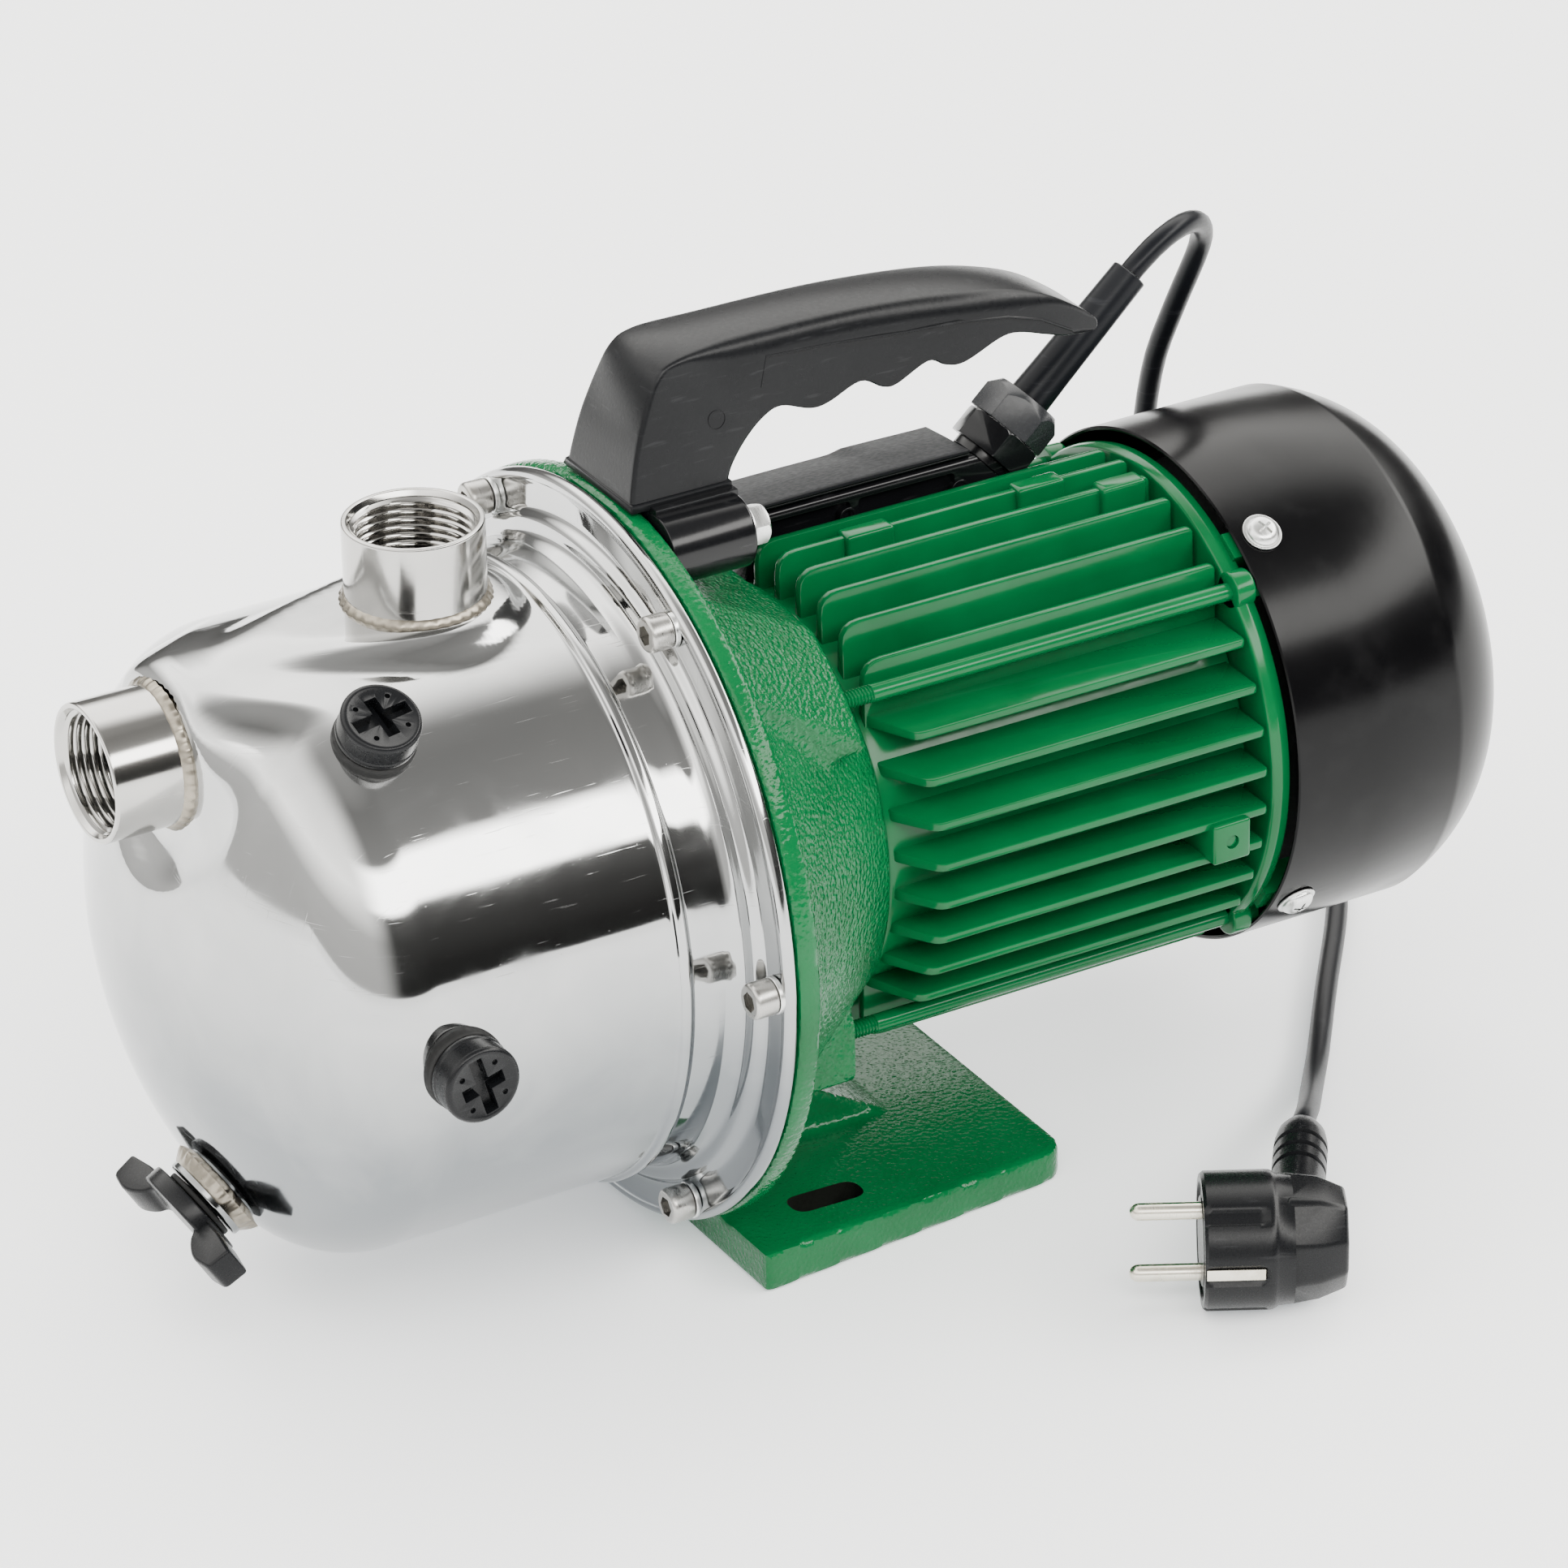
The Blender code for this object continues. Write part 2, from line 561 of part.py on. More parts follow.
# ---------------------------------------------------------------- bracket
def bracket():
    outer = [(0.0, 0.0), (0.0, BRACKET_R), (BRACKET_FLANGE, BRACKET_R), (BRACKET_FLANGE, 93.0),
             (8.5, 90.5), (BELL_END_S, BELL_END_R), (BELL_END_S, 0.0)]
    item = turned("bracket", outer, GREEN)
    hood_cone = turned("hood_cone", [(5.0, 0.0), (5.0, 94.4), (46.0, 74.3), (46.0, 0.0)], None)
    hood = wedge("hood", (5.0, -57.0, 41.0), (46.0, 57.0, 88.3), lowered_rear=22.0, narrowed_rear=2.0)
    boolean(hood, hood_cone, "INTERSECT")
    lower_lugs = []
    for side in (-1.0, 1.0):
        middle = side * ROD_Y
        lower_lugs.append(wedge("lower_lug_%s" % ("right" if side < 0.0 else "left"),
                                (5.0, middle - 10.5, -60.5), (45.0, middle + 10.5, -40.0), 0.0, 1.0))
    inside = turned("bell_inside", [(6.0, 9.0), (6.0, 80.0), (12.0, 80.0), (44.0, 52.0), (34.0, 22.0),
                                    (34.0, 9.0)], None, segments=24)
    bore = turned("shaft_way", [(-5.0, 0.0), (-5.0, 13.2), (6.5, 13.2), (6.5, 9.4), (43.0, 9.4),
                                (43.0, BEARING_R + GAP), (60.0, BEARING_R + GAP), (60.0, 0.0)], None,
                  segments=24)
    foot = foot_plate()
    gusset = plate("foot_gusset", [(5.0, -60.0), (30.0, -70.0), (75.0, -97.0), (75.0, -99.0), (5.0, -99.0)],
                   40.0, side_matrix())
    join(item, hood, *lower_lugs, foot, gusset)
    cut(item, inside, bore)
    cut(item, block("weep_opening", (14.0, -9.0, -86.0), (32.0, 9.0, -40.0)))
    for side in (-1.0, 1.0):
        name = "right" if side < 0.0 else "left"
        clamp = {"point": (0.0, side * CLAMP_Y, CLAMP_H)}
        cut(item, rod("clamp_pocket_" + name, CLAMP_R + 0.6, 6.8, 40.0, **clamp))
        cut(item, rod("clamp_thread_" + name, 3.0 + GAP, 1.5, 12.0, **clamp))
        for level in (-1.0, 1.0):
            cut(item, rod("rod_thread_%s_%d" % (name, level), ROD_R + GAP, 30.0, 60.0,
                          point=(0.0, side * ROD_Y, level * ROD_H), segments=10))
    for index in range(6):
        point = on_circle(0.0, SCREW_CIRCLE_R, SCREW_START_ANGLE + 60.0 * index)
        cut(item, rod("flange_thread_%d" % (index + 1), 3.0 + GAP, -1.0, 9.0, point=point, segments=10))


def foot_plate():
    """Tapered, wedge-thick plate with two holding-down slots."""
    corner = 6.0
    outline = []
    for s, half, start in ((FOOT_END_S, FOOT_HALF_REAR, 0.0), (FOOT_START_S, FOOT_HALF_FRONT, 90.0)):
        inward = -corner if start == 0.0 else corner
        for step in range(4):
            angle = radians(start + 90.0 * step / 3.0)
            outline.append((s + inward + corner * cos(angle), half - corner + corner * sin(angle)))
    outline += [(s, -y) for s, y in reversed(outline)]
    foot = plate("foot_plate", outline, FOOT_FRONT_THICKNESS,
                 floor_matrix(-AXIS_HEIGHT + 0.5 * FOOT_FRONT_THICKNESS))
    slope = (FOOT_FRONT_THICKNESS - FOOT_REAR_THICKNESS) / (FOOT_END_S - FOOT_START_S)
    for vertex in foot.data.vertices:
        if vertex.co.z > 0.0:
            vertex.co.z -= slope * (vertex.co.x - FOOT_START_S * MM)
    for side in (-1.0, 1.0):
        name = "right" if side < 0.0 else "left"
        for end, s in (("front", SLOT_START_S + SLOT_R), ("rear", SLOT_END_S - SLOT_R)):
            cut(foot, rod("slot_%s_%s" % (end, name), SLOT_R, -AXIS_HEIGHT - 2.0, -85.0,
                          point=(s, side * SLOT_Y, 0.0), axis=UP, segments=12))
        cut(foot, block("slot_middle_" + name,
                        (SLOT_START_S + SLOT_R, side * SLOT_Y - SLOT_R, -AXIS_HEIGHT - 2.0),
                        (SLOT_END_S - SLOT_R, side * SLOT_Y + SLOT_R, -85.0)))
    return foot


def flange_screws():
    """Six M6 socket head screws with spring washers, each one solid."""
    for index in range(6):
        point = on_circle(0.0, SCREW_CIRCLE_R, SCREW_START_ANGLE + 60.0 * index)
        seat = FLANGE_SEAT_S - GAP
        outline = [(7.5, 0.0), (7.5, 3.0), (seat, 3.0), (seat, 5.0), (seat - 8.2, 5.0), (seat - 8.2, 0.0)]
        screw = turned("flange_screw_%d" % (index + 1), outline, STAINLESS, point=point, segments=10)
        cut(screw, rod("screw_hex_%d" % (index + 1), 2.9, seat - 12.0, seat - 4.9, point=point, segments=6))
        hole = rod("flange_hole_%d" % (index + 1), 3.0 + GAP, -8.0, 2.0, point=point, segments=10)
        cut(bpy.data.objects["pump_body"], hole)


# ---------------------------------------------------------------- motor
def motor_shaft():
    outline = [(-41.0, 0.0), (-41.0, SHAFT_TIP_R), (-4.9, SHAFT_TIP_R), (-4.9, SHAFT_R),
               (191.0, SHAFT_R), (191.0, SHAFT_TIP_R), (216.0, SHAFT_TIP_R), (216.0, 0.0)]
    turned("shaft", outline, STEEL, segments=SMALL_SEGMENTS)
    nut = rod("impeller_nut", 8.1, -38.2, -28.3, BRASS, segments=6)
    cut(nut, rod("impeller_nut_bore", SHAFT_TIP_R + GAP, -40.0, -27.0))
    turned("rotor", [(66.0, 6.3), (66.0, 24.0), (72.0, 24.0), (72.0, 31.0), (138.0, 31.0), (138.0, 24.0),
                     (144.0, 24.0), (144.0, 6.3)], STEEL, segments=24)
    turned("front_bearing", [(43.6, 6.3), (43.6, BEARING_R), (53.6, BEARING_R), (53.6, 6.3)], STEEL,
           segments=20)
    turned("rear_bearing", [(160.0, 6.3), (160.0, BEARING_R), (170.0, BEARING_R), (170.0, 6.3)], STEEL,
           segments=20)
    turned("stator_core", [(76.0, 31.4), (76.0, 52.0), (134.0, 52.0), (134.0, 31.4)], STEEL, segments=28)
    for name, start, end in (("winding_front", 59.0, 75.7), ("winding_rear", 134.3, 151.0)):
        middle = 0.5 * (start + end)
        turned(name, [(start, 37.0), (start, 46.0), (middle, 50.0), (end, 50.0), (end, 33.0), (middle, 33.0)],
               COPPER, segments=20)


def fin_set(name, vertical, places):
    """Parallel fins: horizontal ones right across, vertical ones above or below the core."""
    corners = []
    half = 0.5 * FIN_THICKNESS
    for place in places:
        reach = sqrt(FIN_R ** 2 - place[0] ** 2)
        if vertical:
            low, high = (25.0, reach) if place[1] > 0.0 else (-reach, -25.0)
            corners.append(((FIN_START_S, place[0] - half, low), (FIN_END_S, place[0] + half, high)))
        else:
            corners.append(((FIN_START_S, -reach, place[0] - half), (FIN_END_S, reach, place[0] + half)))
    return blocks(name, corners)


def motor_housing():
    core = turned("motor_housing", [(54.8, BORE_R), (54.8, CORE_R), (168.0, CORE_R), (168.0, BORE_R)], GREEN)
    levels = [(sign * h, 0.0) for h in SIDE_FIN_HEIGHTS for sign in (-1.0, 1.0)]
    top = [(TOP_FIN_START_Y + FIN_PITCH * index, 1.0) for index in range(TOP_FINS)]
    bottom = [(BOTTOM_FIN_START_Y + FIN_PITCH * index, -1.0) for index in range(BOTTOM_FINS)]
    bore = rod("housing_bore", BORE_R, 50.0, 175.0, segments=SEGMENTS)
    near_pad = block("box_pad_near", (62.0, 20.0, 40.0), (128.0, 40.0, BOX_BOTTOM_H - GAP))
    earth = block("earth_boss", (148.0, -72.0, -17.0), (160.0, -50.0, -5.0))
    earth_hole = rod("earth_hole", 2.0, 62.0, 75.0, point=(154.0, 0.0, -11.0), axis=(0.0, -1.0, 0.0),
                     segments=12)
    wire_way = rod("wire_way", 7.0, 40.0, 60.0, point=(96.0, 30.0, 0.0), axis=UP, segments=12)
    join(core, fin_set("side_fins", False, levels), fin_set("top_fins", True, top),
         fin_set("bottom_fins", True, bottom), near_pad, earth)
    cut(core, bore, earth_hole, wire_way)


def rear_end_shield():
    outline = [(SHIELD_S, 22.0), (SHIELD_S, SHIELD_R), (SHIELD_END_S, SHIELD_R), (SHIELD_END_S, 62.0),
               (172.6, 60.0), (172.6, 7.5), (170.3, 7.5), (170.3, BEARING_R + GAP), (159.0, BEARING_R + GAP),
               (159.0, 20.0)]
    shield = turned("rear_end_shield", outline, GREEN, segments=28)
    for index, (y_side, h_side) in enumerate(((-1, 1), (1, 1), (1, -1), (-1, -1))):
        place = {"point": (0.0, y_side * ROD_Y, h_side * ROD_H), "segments": 10}
        join(shield, rod("rod_ear_%d" % index, 4.4, SHIELD_S, SHIELD_END_S, **place))
        cut(shield, rod("rod_hole_%d" % index, ROD_R + GAP, 160.0, 180.0, **place))
    for index, angle in enumerate(COVER_SCREW_ANGLES):
        matrix = Matrix.Translation(at(0.0, 0.0, 0.0)) @ Matrix.Rotation(radians(angle), 4, "X")
        join(shield, block("cover_pad_%d" % index, (173.0, -4.0, 62.5), (188.0, 4.0, 71.2), matrix=matrix))
        cut(shield, rod("cover_thread_%d" % index, 2.3, 60.0, 80.0, point=(COVER_SCREW_S, 0.0, 0.0),
                        axis=around(angle), segments=8))


def tie_rods():
    number = 0
    for level in (1.0, -1.0):
        for side in (-1.0, 1.0):
            number += 1
            outline = [(31.0, 0.0), (31.0, ROD_R), (174.6, ROD_R), (174.6, 3.3), (177.8, 3.3), (177.8, 0.0)]
            turned("tie_rod_%d" % number, outline, GREEN, point=(0.0, side * ROD_Y, level * ROD_H), segments=10)


def cooling_fan():
    fan = turned("cooling_fan", [(193.0, 5.3), (193.0, 14.0), (196.0, 15.0), (196.0, 60.0), (198.4, 60.0),
                                 (198.4, 15.0), (214.0, 12.0), (214.0, 5.3)], BLACK_PLASTIC, segments=24)
    for index in range(8):
        matrix = Matrix.Translation(at(0.0, 0.0, 0.0)) @ Matrix.Rotation(radians(45.0 * index), 4, "X")
        join(fan, block("fan_blade_%d" % index, (197.0, -1.2, 13.0), (220.0, 1.2, 64.0), matrix=matrix))


def cover_shoulder(inset, steps=4):
    """Rounded rear shoulder of the fan cover, from its cylinder to its flat back."""
    start = (COVER_SHOULDER_S, COVER_R - inset)
    middle = (COVER_END_S - 7.1 - inset, COVER_R - 6.3 - inset)
    end = (COVER_END_S - inset, 51.5 - inset)
    points = []
    for index in range(steps + 1):
        t = index / steps
        points.append(tuple((1.0 - t) ** 2 * a + 2.0 * t * (1.0 - t) * b + t * t * c
                            for a, b, c in zip(start, middle, end)))
    return points


def fan_cover():
    outline = [(COVER_START_S, COVER_R)] + cover_shoulder(0.0) + [(COVER_END_S, 0.0)]
    outline += [(COVER_END_S - COVER_WALL, 0.0)] + list(reversed(cover_shoulder(COVER_WALL)))
    outline += [(COVER_START_S, COVER_R - COVER_WALL)]
    cover = turned("fan_cover", outline, BLACK_STEEL)
    for index in range(6):
        matrix = Matrix.Translation(at(0.0, 0.0, 0.0)) @ Matrix.Rotation(radians(30.0 * index), 4, "X")
        corners = [((246.0, -3.0, -46.0), (256.0, 3.0, -18.0)), ((246.0, -3.0, 18.0), (256.0, 3.0, 46.0))]
        cut(cover, blocks("vent_slots_%d" % index, corners, matrix=matrix))
    for index, angle in enumerate(COVER_SCREW_ANGLES):
        place = {"point": (COVER_SCREW_S, 0.0, 0.0), "axis": around(angle), "segments": 8}
        cut(cover, rod("cover_hole_%d" % index, 2.3, 68.0, 78.0, **place))
        outline = [(63.5, 0.0), (63.5, 2.0), (COVER_R + GAP, 2.0), (COVER_R + GAP, 4.75),
                   (COVER_R + 1.8, 4.5), (COVER_R + 3.0, 0.0)]
        turned("cover_screw_%d" % (index + 1), outline, ZINC, point=(COVER_SCREW_S, 0.0, 0.0),
               axis=around(angle), segments=10)


# ---------------------------------------------------------------- terminal box, gland and lead
def across_matrix(s):
    """Local x across, local y up: for outlines seen along the shaft."""
    rotation = Matrix(((0.0, 0.0, 1.0), (1.0, 0.0, 0.0), (0.0, 1.0, 0.0))).to_4x4()
    return Matrix.Translation(at(s, 0.0, 0.0)) @ rotation


def gland_axis():
    return Vector((cos(radians(GLAND_ANGLE)), 0.0, sin(radians(GLAND_ANGLE))))


def gland_face(name, back_off):
    """Block that fills everything beyond a plane square to the gland axis."""
    reach = 80.0
    return block(name, (-reach, -reach, -back_off), (reach, reach, reach),
                 matrix=frame_matrix(GLAND_BASE, gland_axis()))


def box_section(near_h, bottom_h, inset):
    near = BOX_NEAR_Y + inset
    far = BOX_FAR_Y - inset
    return [(near, bottom_h), (far, bottom_h), (far, near_h - LID_FALL * (far - BOX_NEAR_Y)),
            (near, near_h - LID_FALL * inset)]


def terminal_box():
    wall = 2.0
    end_s = 150.0
    length = end_s - BOX_START_S
    middle = 0.5 * (end_s + BOX_START_S)
    shell = plate("terminal_box", box_section(BOX_NEAR_H, BOX_BOTTOM_H, 0.0), length, across_matrix(middle),
                  BLACK_PLASTIC)
    room = plate("box_room", box_section(BOX_NEAR_H + 6.0, BOX_BOTTOM_H + wall, wall),
                 length - 2.0 * wall, across_matrix(middle))
    cut(room, gland_face("box_room_end", 5.5))
    cut(shell, gland_face("box_end", 3.2), room)
    cut(shell, rod("gland_hole", 5.0 + GAP, -12.0, 4.0, point=GLAND_BASE, axis=gland_axis()))
    cut(shell, rod("box_wire_way", 7.0, 50.0, 60.0, point=(96.0, 30.0, 0.0), axis=UP, segments=12))
    near = BOX_NEAR_Y - 1.0
    far = BOX_FAR_Y + 1.5
    top = LID_NEAR_H
    fall = LID_FALL * (far - near)
    section = [(near, top - LID_THICKNESS), (far, top - LID_THICKNESS - fall), (far, top - fall), (near, top)]
    lid = plate("terminal_lid", section, end_s - LID_START_S, across_matrix(0.5 * (end_s + LID_START_S)),
                BLACK_PLASTIC)
    cut(lid, gland_face("lid_end", 3.2))


def terminal_box_contents():
    block("capacitor", (68.0, 20.0, 57.2), (118.0, 43.0, 67.2), GREY_PLASTIC)
    block("terminal_block", (60.0, 24.0, 57.2), (66.0, 42.0, 66.4), CERAMIC)


def cable_gland():
    axis = gland_axis()
    body = rod("cable_gland", 12.2, -0.2, 8.0, BLACK_PLASTIC, point=GLAND_BASE, axis=axis, segments=6)
    join(body, rod("gland_shank", 5.0, -10.0, 2.0, point=GLAND_BASE, axis=axis))
    cut(body, rod("gland_bore", CORD_R + GAP, -12.0, 10.0, point=GLAND_BASE, axis=axis))
    nut = rod("gland_nut", 11.9, 8.3, GLAND_LENGTH, BLACK_PLASTIC, point=GLAND_BASE, axis=axis, segments=6,
              end_radius=10.6)
    cut(nut, rod("gland_nut_bore", 6.4, 6.0, 22.0, point=GLAND_BASE, axis=axis))
    turned("bend_sleeve", [(8.6, 0.0), (8.6, 6.0), (24.0, 6.0), (SLEEVE_END - 0.5, 5.2), (SLEEVE_END, 4.7),
                           (SLEEVE_END, 0.0)], RUBBER, point=GLAND_BASE, axis=axis, segments=SMALL_SEGMENTS)


def plug_axes():
    """Direction of the lead at the plug and direction of its pins."""
    lead = radians(PLUG_LEAD_ANGLE)
    pins = radians(PLUG_PIN_ANGLE)
    return Vector((cos(lead), sin(lead), 0.0)), Vector((cos(pins), sin(pins), 0.0))


def plug_points():
    """Middle of the plug's face, and the point where the axis of the lead meets the plug axis."""
    _, pins = plug_axes()
    face = Vector((*PLUG_FACE, PLUG_HEIGHT_H))
    return face, face - pins * PLUG_LEAD_BACK


def smooth_curve(points, before, after, per_span):
    """Catmull-Rom curve through points, led in and out by one extra point at each end."""
    guide = [before] + points + [after]
    result = []
    for index in range(1, len(guide) - 2):
        p0, p1, p2, p3 = guide[index - 1:index + 3]
        for step in range(per_span):
            t = step / per_span
            result.append(0.5 * (2.0 * p1 + (p2 - p0) * t + (2.0 * p0 - 5.0 * p1 + 4.0 * p2 - p3) * t * t
                                 + (3.0 * p1 - p0 - 3.0 * p2 + p3) * t * t * t))
    result.append(guide[-2])
    return result


def cord_curve():
    """Centre line of the lead, leaving the sleeve and entering the plug square to their ends."""
    lead, _ = plug_axes()
    _, elbow = plug_points()
    start = Vector(GLAND_BASE) + gland_axis() * (SLEEVE_END + GAP)
    end = elbow + lead * (PLUG_RELIEF_END + GAP)
    route = [start] + [Vector(point) for point in CORD_ROUTE] + [end]
    straight_out = start + gland_axis() * 1.5
    straight_in = end + lead * 1.5
    inner = smooth_curve(route, start - gland_axis() * 9.0, end - lead * 16.0, 2)
    return [start, straight_out] + inner[1:-1] + [straight_in, end]


def mains_cord():
    curve = bpy.data.curves.new("mains_cord", "CURVE")
    curve.dimensions = "3D"
    curve.bevel_depth = CORD_R * MM
    curve.bevel_resolution = 2
    curve.use_fill_caps = True
    points = cord_curve()
    spline = curve.splines.new("POLY")
    spline.points.add(len(points) - 1)
    for target, point in zip(spline.points, points):
        target.co = (*at(*point), 1.0)
    curve.materials.append(RUBBER)
    PARTS.objects.link(bpy.data.objects.new("mains_cord", curve))


def mains_plug():
    """Angled plug: round face part, blunt rear part, and a short ribbed relief at the side."""
    lead, pins = plug_axes()
    face, elbow = plug_points()
    outline = [(-39.0, 0.0), (-39.0, 13.0), (-33.0, 17.0), (-22.0, 17.6), (-19.0, PLUG_FACE_R),
               (-1.0, PLUG_FACE_R), (0.0, PLUG_FACE_R - 0.9), (0.0, 0.0)]
    plug = turned("mains_plug", outline, BLACK_PLASTIC, point=face, axis=pins, segments=24)
    relief = turned("plug_relief", [(0.0, 0.0), (0.0, 7.6), (40.0, 7.3), (52.0, 6.8), (PLUG_RELIEF_END, 4.2),
                                    (PLUG_RELIEF_END, 0.0)], None, point=elbow, axis=lead, segments=14)
    join(plug, relief)
    for index, side in enumerate((1.0, -1.0)):
        point = face + Vector((0.0, 0.0, side * 0.5 * PIN_SPACING))
        cut(plug, rod("pin_seat_%d" % index, PIN_R + GAP, -8.0, 4.0, point=point, axis=pins, segments=12))
        outline = [(-7.6, 0.0), (-7.6, PIN_R), (PIN_LENGTH - 1.5, PIN_R), (PIN_LENGTH, 1.2), (PIN_LENGTH, 0.0)]
        turned("plug_pin_%d" % (index + 1), outline, NICKEL, point=point, axis=pins, segments=12)


# ---------------------------------------------------------------- handle
HANDLE_OUTLINE = [
    (2.0, 106.2), (3.2, 113.0), (5.5, 122.0), (9.5, 132.0), (13.0, 138.5), (18.0, 141.6), (30.0, 142.6),
    (64.5, 142.4), (87.4, 141.0), (106.0, 138.8), (122.0, 135.6), (134.0, 131.6), (143.0, 126.4),
    (149.5, 121.5), (151.8, 118.6), (150.0, 116.6), (140.2, 118.4), (133.0, 121.0), (123.6, 124.4),
    (116.8, 124.6), (105.1, 121.1), (99.3, 121.8), (94.1, 124.0), (84.3, 120.1), (79.8, 120.3),
    (73.3, 123.4), (63.6, 120.1), (57.9, 119.6), (49.1, 122.4), (43.4, 120.6), (37.6, 115.8),
    (32.8, 109.5), (31.2, 103.4), (31.2, 96.0), (7.1, 96.0), (7.1, 106.2),
]


def handle():
    grip = plate("handle", HANDLE_OUTLINE, 2.0 * HANDLE_HALF_FOOT, side_matrix(), BLACK_PLASTIC)
    full = (HANDLE_HALF_FOOT - HANDLE_HALF_TOP) / (140.0 - 106.0)
    for vertex in grip.data.vertices:
        rise = min(max(vertex.co.y / MM - 106.0, 0.0), 34.0)
        side = 1.0 if vertex.co.z > 0.0 else -1.0
        vertex.co.z = side * (HANDLE_HALF_FOOT - full * rise) * MM
    for side in (-1.0, 1.0):
        name = "right" if side < 0.0 else "left"
        clamp = {"point": (0.0, side * CLAMP_Y, CLAMP_H)}
        join(grip, rod("clamp_sleeve_" + name, CLAMP_R, CLAMP_START_S, CLAMP_END_S, **clamp))
        cut(grip, rod("clamp_bore_" + name, 3.0 + GAP, 0.0, 40.0, segments=12, **clamp))
        bolt = turned("handle_bolt_1" if side < 0.0 else "handle_bolt_2",
                      [(2.0, 0.0), (2.0, 2.5), (2.5, 3.0), (CLAMP_END_S + GAP, 3.0), (CLAMP_END_S + GAP, 7.0),
                       (CLAMP_END_S + 1.6, 7.0), (CLAMP_END_S + 1.6, 4.8), (CLAMP_END_S + 2.8, 4.8),
                       (CLAMP_END_S + 2.8, 0.0)], ZINC, segments=12, **clamp)
        join(bolt, rod("bolt_head_" + name, 5.77, CLAMP_END_S + 2.0, CLAMP_END_S + 6.8, segments=6, **clamp))


# ---------------------------------------------------------------- build
pump_body()
port("suction_port", (0.0, 0.0, SUCTION_H), -ALONG, -SUCTION_PAD_S + GAP, -SUCTION_END_S)
port("discharge_port", (DISCHARGE_S, 0.0, 0.0), UP, DISCHARGE_PAD_H + GAP, DISCHARGE_END_H)
round_plug("fill_plug", FILL_PLUG_S, FILL_PLUG_ANGLE, 98.0)
round_plug("side_plug", SIDE_PLUG_S, SIDE_PLUG_ANGLE, 16.0)
drain()
ejector()
diffuser()
impeller()
shaft_seal()
bracket()
flange_screws()
motor_shaft()
motor_housing()
rear_end_shield()
tie_rods()
cooling_fan()
fan_cover()
terminal_box()
terminal_box_contents()
cable_gland()
mains_cord()
mains_plug()
handle()
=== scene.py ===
"""Looks of the shallow well jet pump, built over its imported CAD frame.

Lengths below are millimetres. A point is written (s, y, h): s runs along the motor shaft from the
joint between pump body and bracket towards the fan, y runs across, h is the height above the shaft.
"""
from math import acos, ceil, cos, degrees, hypot, pi, radians, sin, sqrt

import bmesh
import bpy
from mathutils import Matrix, Vector, noise


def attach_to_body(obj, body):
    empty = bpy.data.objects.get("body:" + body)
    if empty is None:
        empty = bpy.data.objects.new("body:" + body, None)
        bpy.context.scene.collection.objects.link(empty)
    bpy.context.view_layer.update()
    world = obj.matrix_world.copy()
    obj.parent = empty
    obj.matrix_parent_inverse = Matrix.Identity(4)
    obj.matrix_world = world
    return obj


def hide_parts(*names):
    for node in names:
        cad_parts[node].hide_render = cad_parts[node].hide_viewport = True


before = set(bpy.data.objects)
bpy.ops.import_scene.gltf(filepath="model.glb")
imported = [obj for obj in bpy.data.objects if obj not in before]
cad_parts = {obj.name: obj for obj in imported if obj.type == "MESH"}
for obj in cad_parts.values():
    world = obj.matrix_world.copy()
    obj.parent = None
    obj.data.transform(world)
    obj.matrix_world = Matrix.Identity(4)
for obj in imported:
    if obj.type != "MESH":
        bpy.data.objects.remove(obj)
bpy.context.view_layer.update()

MM = 0.001
AXIS_HEIGHT = 106.0          # shaft above the ground
FLANGE_X = -56.0             # joint face of body and bracket, from the world origin
ALONG = Vector((1.0, 0.0, 0.0))
UP = Vector((0.0, 0.0, 1.0))
PUMP = "pump"
SIDES = (-1.0, 1.0)


def at(s, y, h):
    """World point in metres."""
    return Vector((FLANGE_X + s, y, AXIS_HEIGHT + h)) * MM


def inside(matrix, x, y, z):
    """World point of local millimetres."""
    return matrix @ (Vector((x, y, z)) * MM)


def around(angle):
    """Unit vector across the shaft, at an angle from the vertical towards -y."""
    return Vector((0.0, -sin(radians(angle)), cos(radians(angle))))


def place(point, axis, quarter=None):
    """Matrix in metres whose local z is the axis and whose local x leans towards the quarter vector."""
    z = Vector(axis).normalized()
    guide = Vector(quarter) if quarter is not None else (UP if abs(z.z) < 0.9 else ALONG)
    y = z.cross(guide).normalized()
    x = y.cross(z)
    return Matrix.Translation(at(*point)) @ Matrix((x, y, z)).transposed().to_4x4()


SHAFT = place((0.0, 0.0, 0.0), ALONG)
PLAIN = Matrix.Translation(at(0.0, 0.0, 0.0))
SIDE = PLAIN @ Matrix(((1.0, 0.0, 0.0), (0.0, 0.0, -1.0), (0.0, 1.0, 0.0))).to_4x4()
ACROSS = Matrix(((0.0, 0.0, 1.0), (1.0, 0.0, 0.0), (0.0, 1.0, 0.0))).to_4x4()


def ease(value, low, high):
    """Smooth step from 0 at low to 1 at high."""
    t = min(max((value - low) / (high - low), 0.0), 1.0)
    return t * t * (3.0 - 2.0 * t)


def turn_z(angle):
    """Rotation in degrees about a matrix's own z axis."""
    return Matrix.Rotation(radians(angle), 4, "Z")


def link(name, data):
    item = bpy.data.objects.new(name, data)
    bpy.context.scene.collection.objects.link(item)
    return item


# ---------------------------------------------------------------- camera, light, floor
CAMERA_SPOT = (-0.9074, -1.5840, 1.0787)
CAMERA_TURN = -0.5202
CAMERA_TILT = 0.4887
CAMERA_ROLL = -0.01892
CAMERA_LENS = 175.3
FLOOR_HALF = 12.0
WARMTH = (1.0, 0.985, 0.95)
ROOM_STRENGTH = 11.5


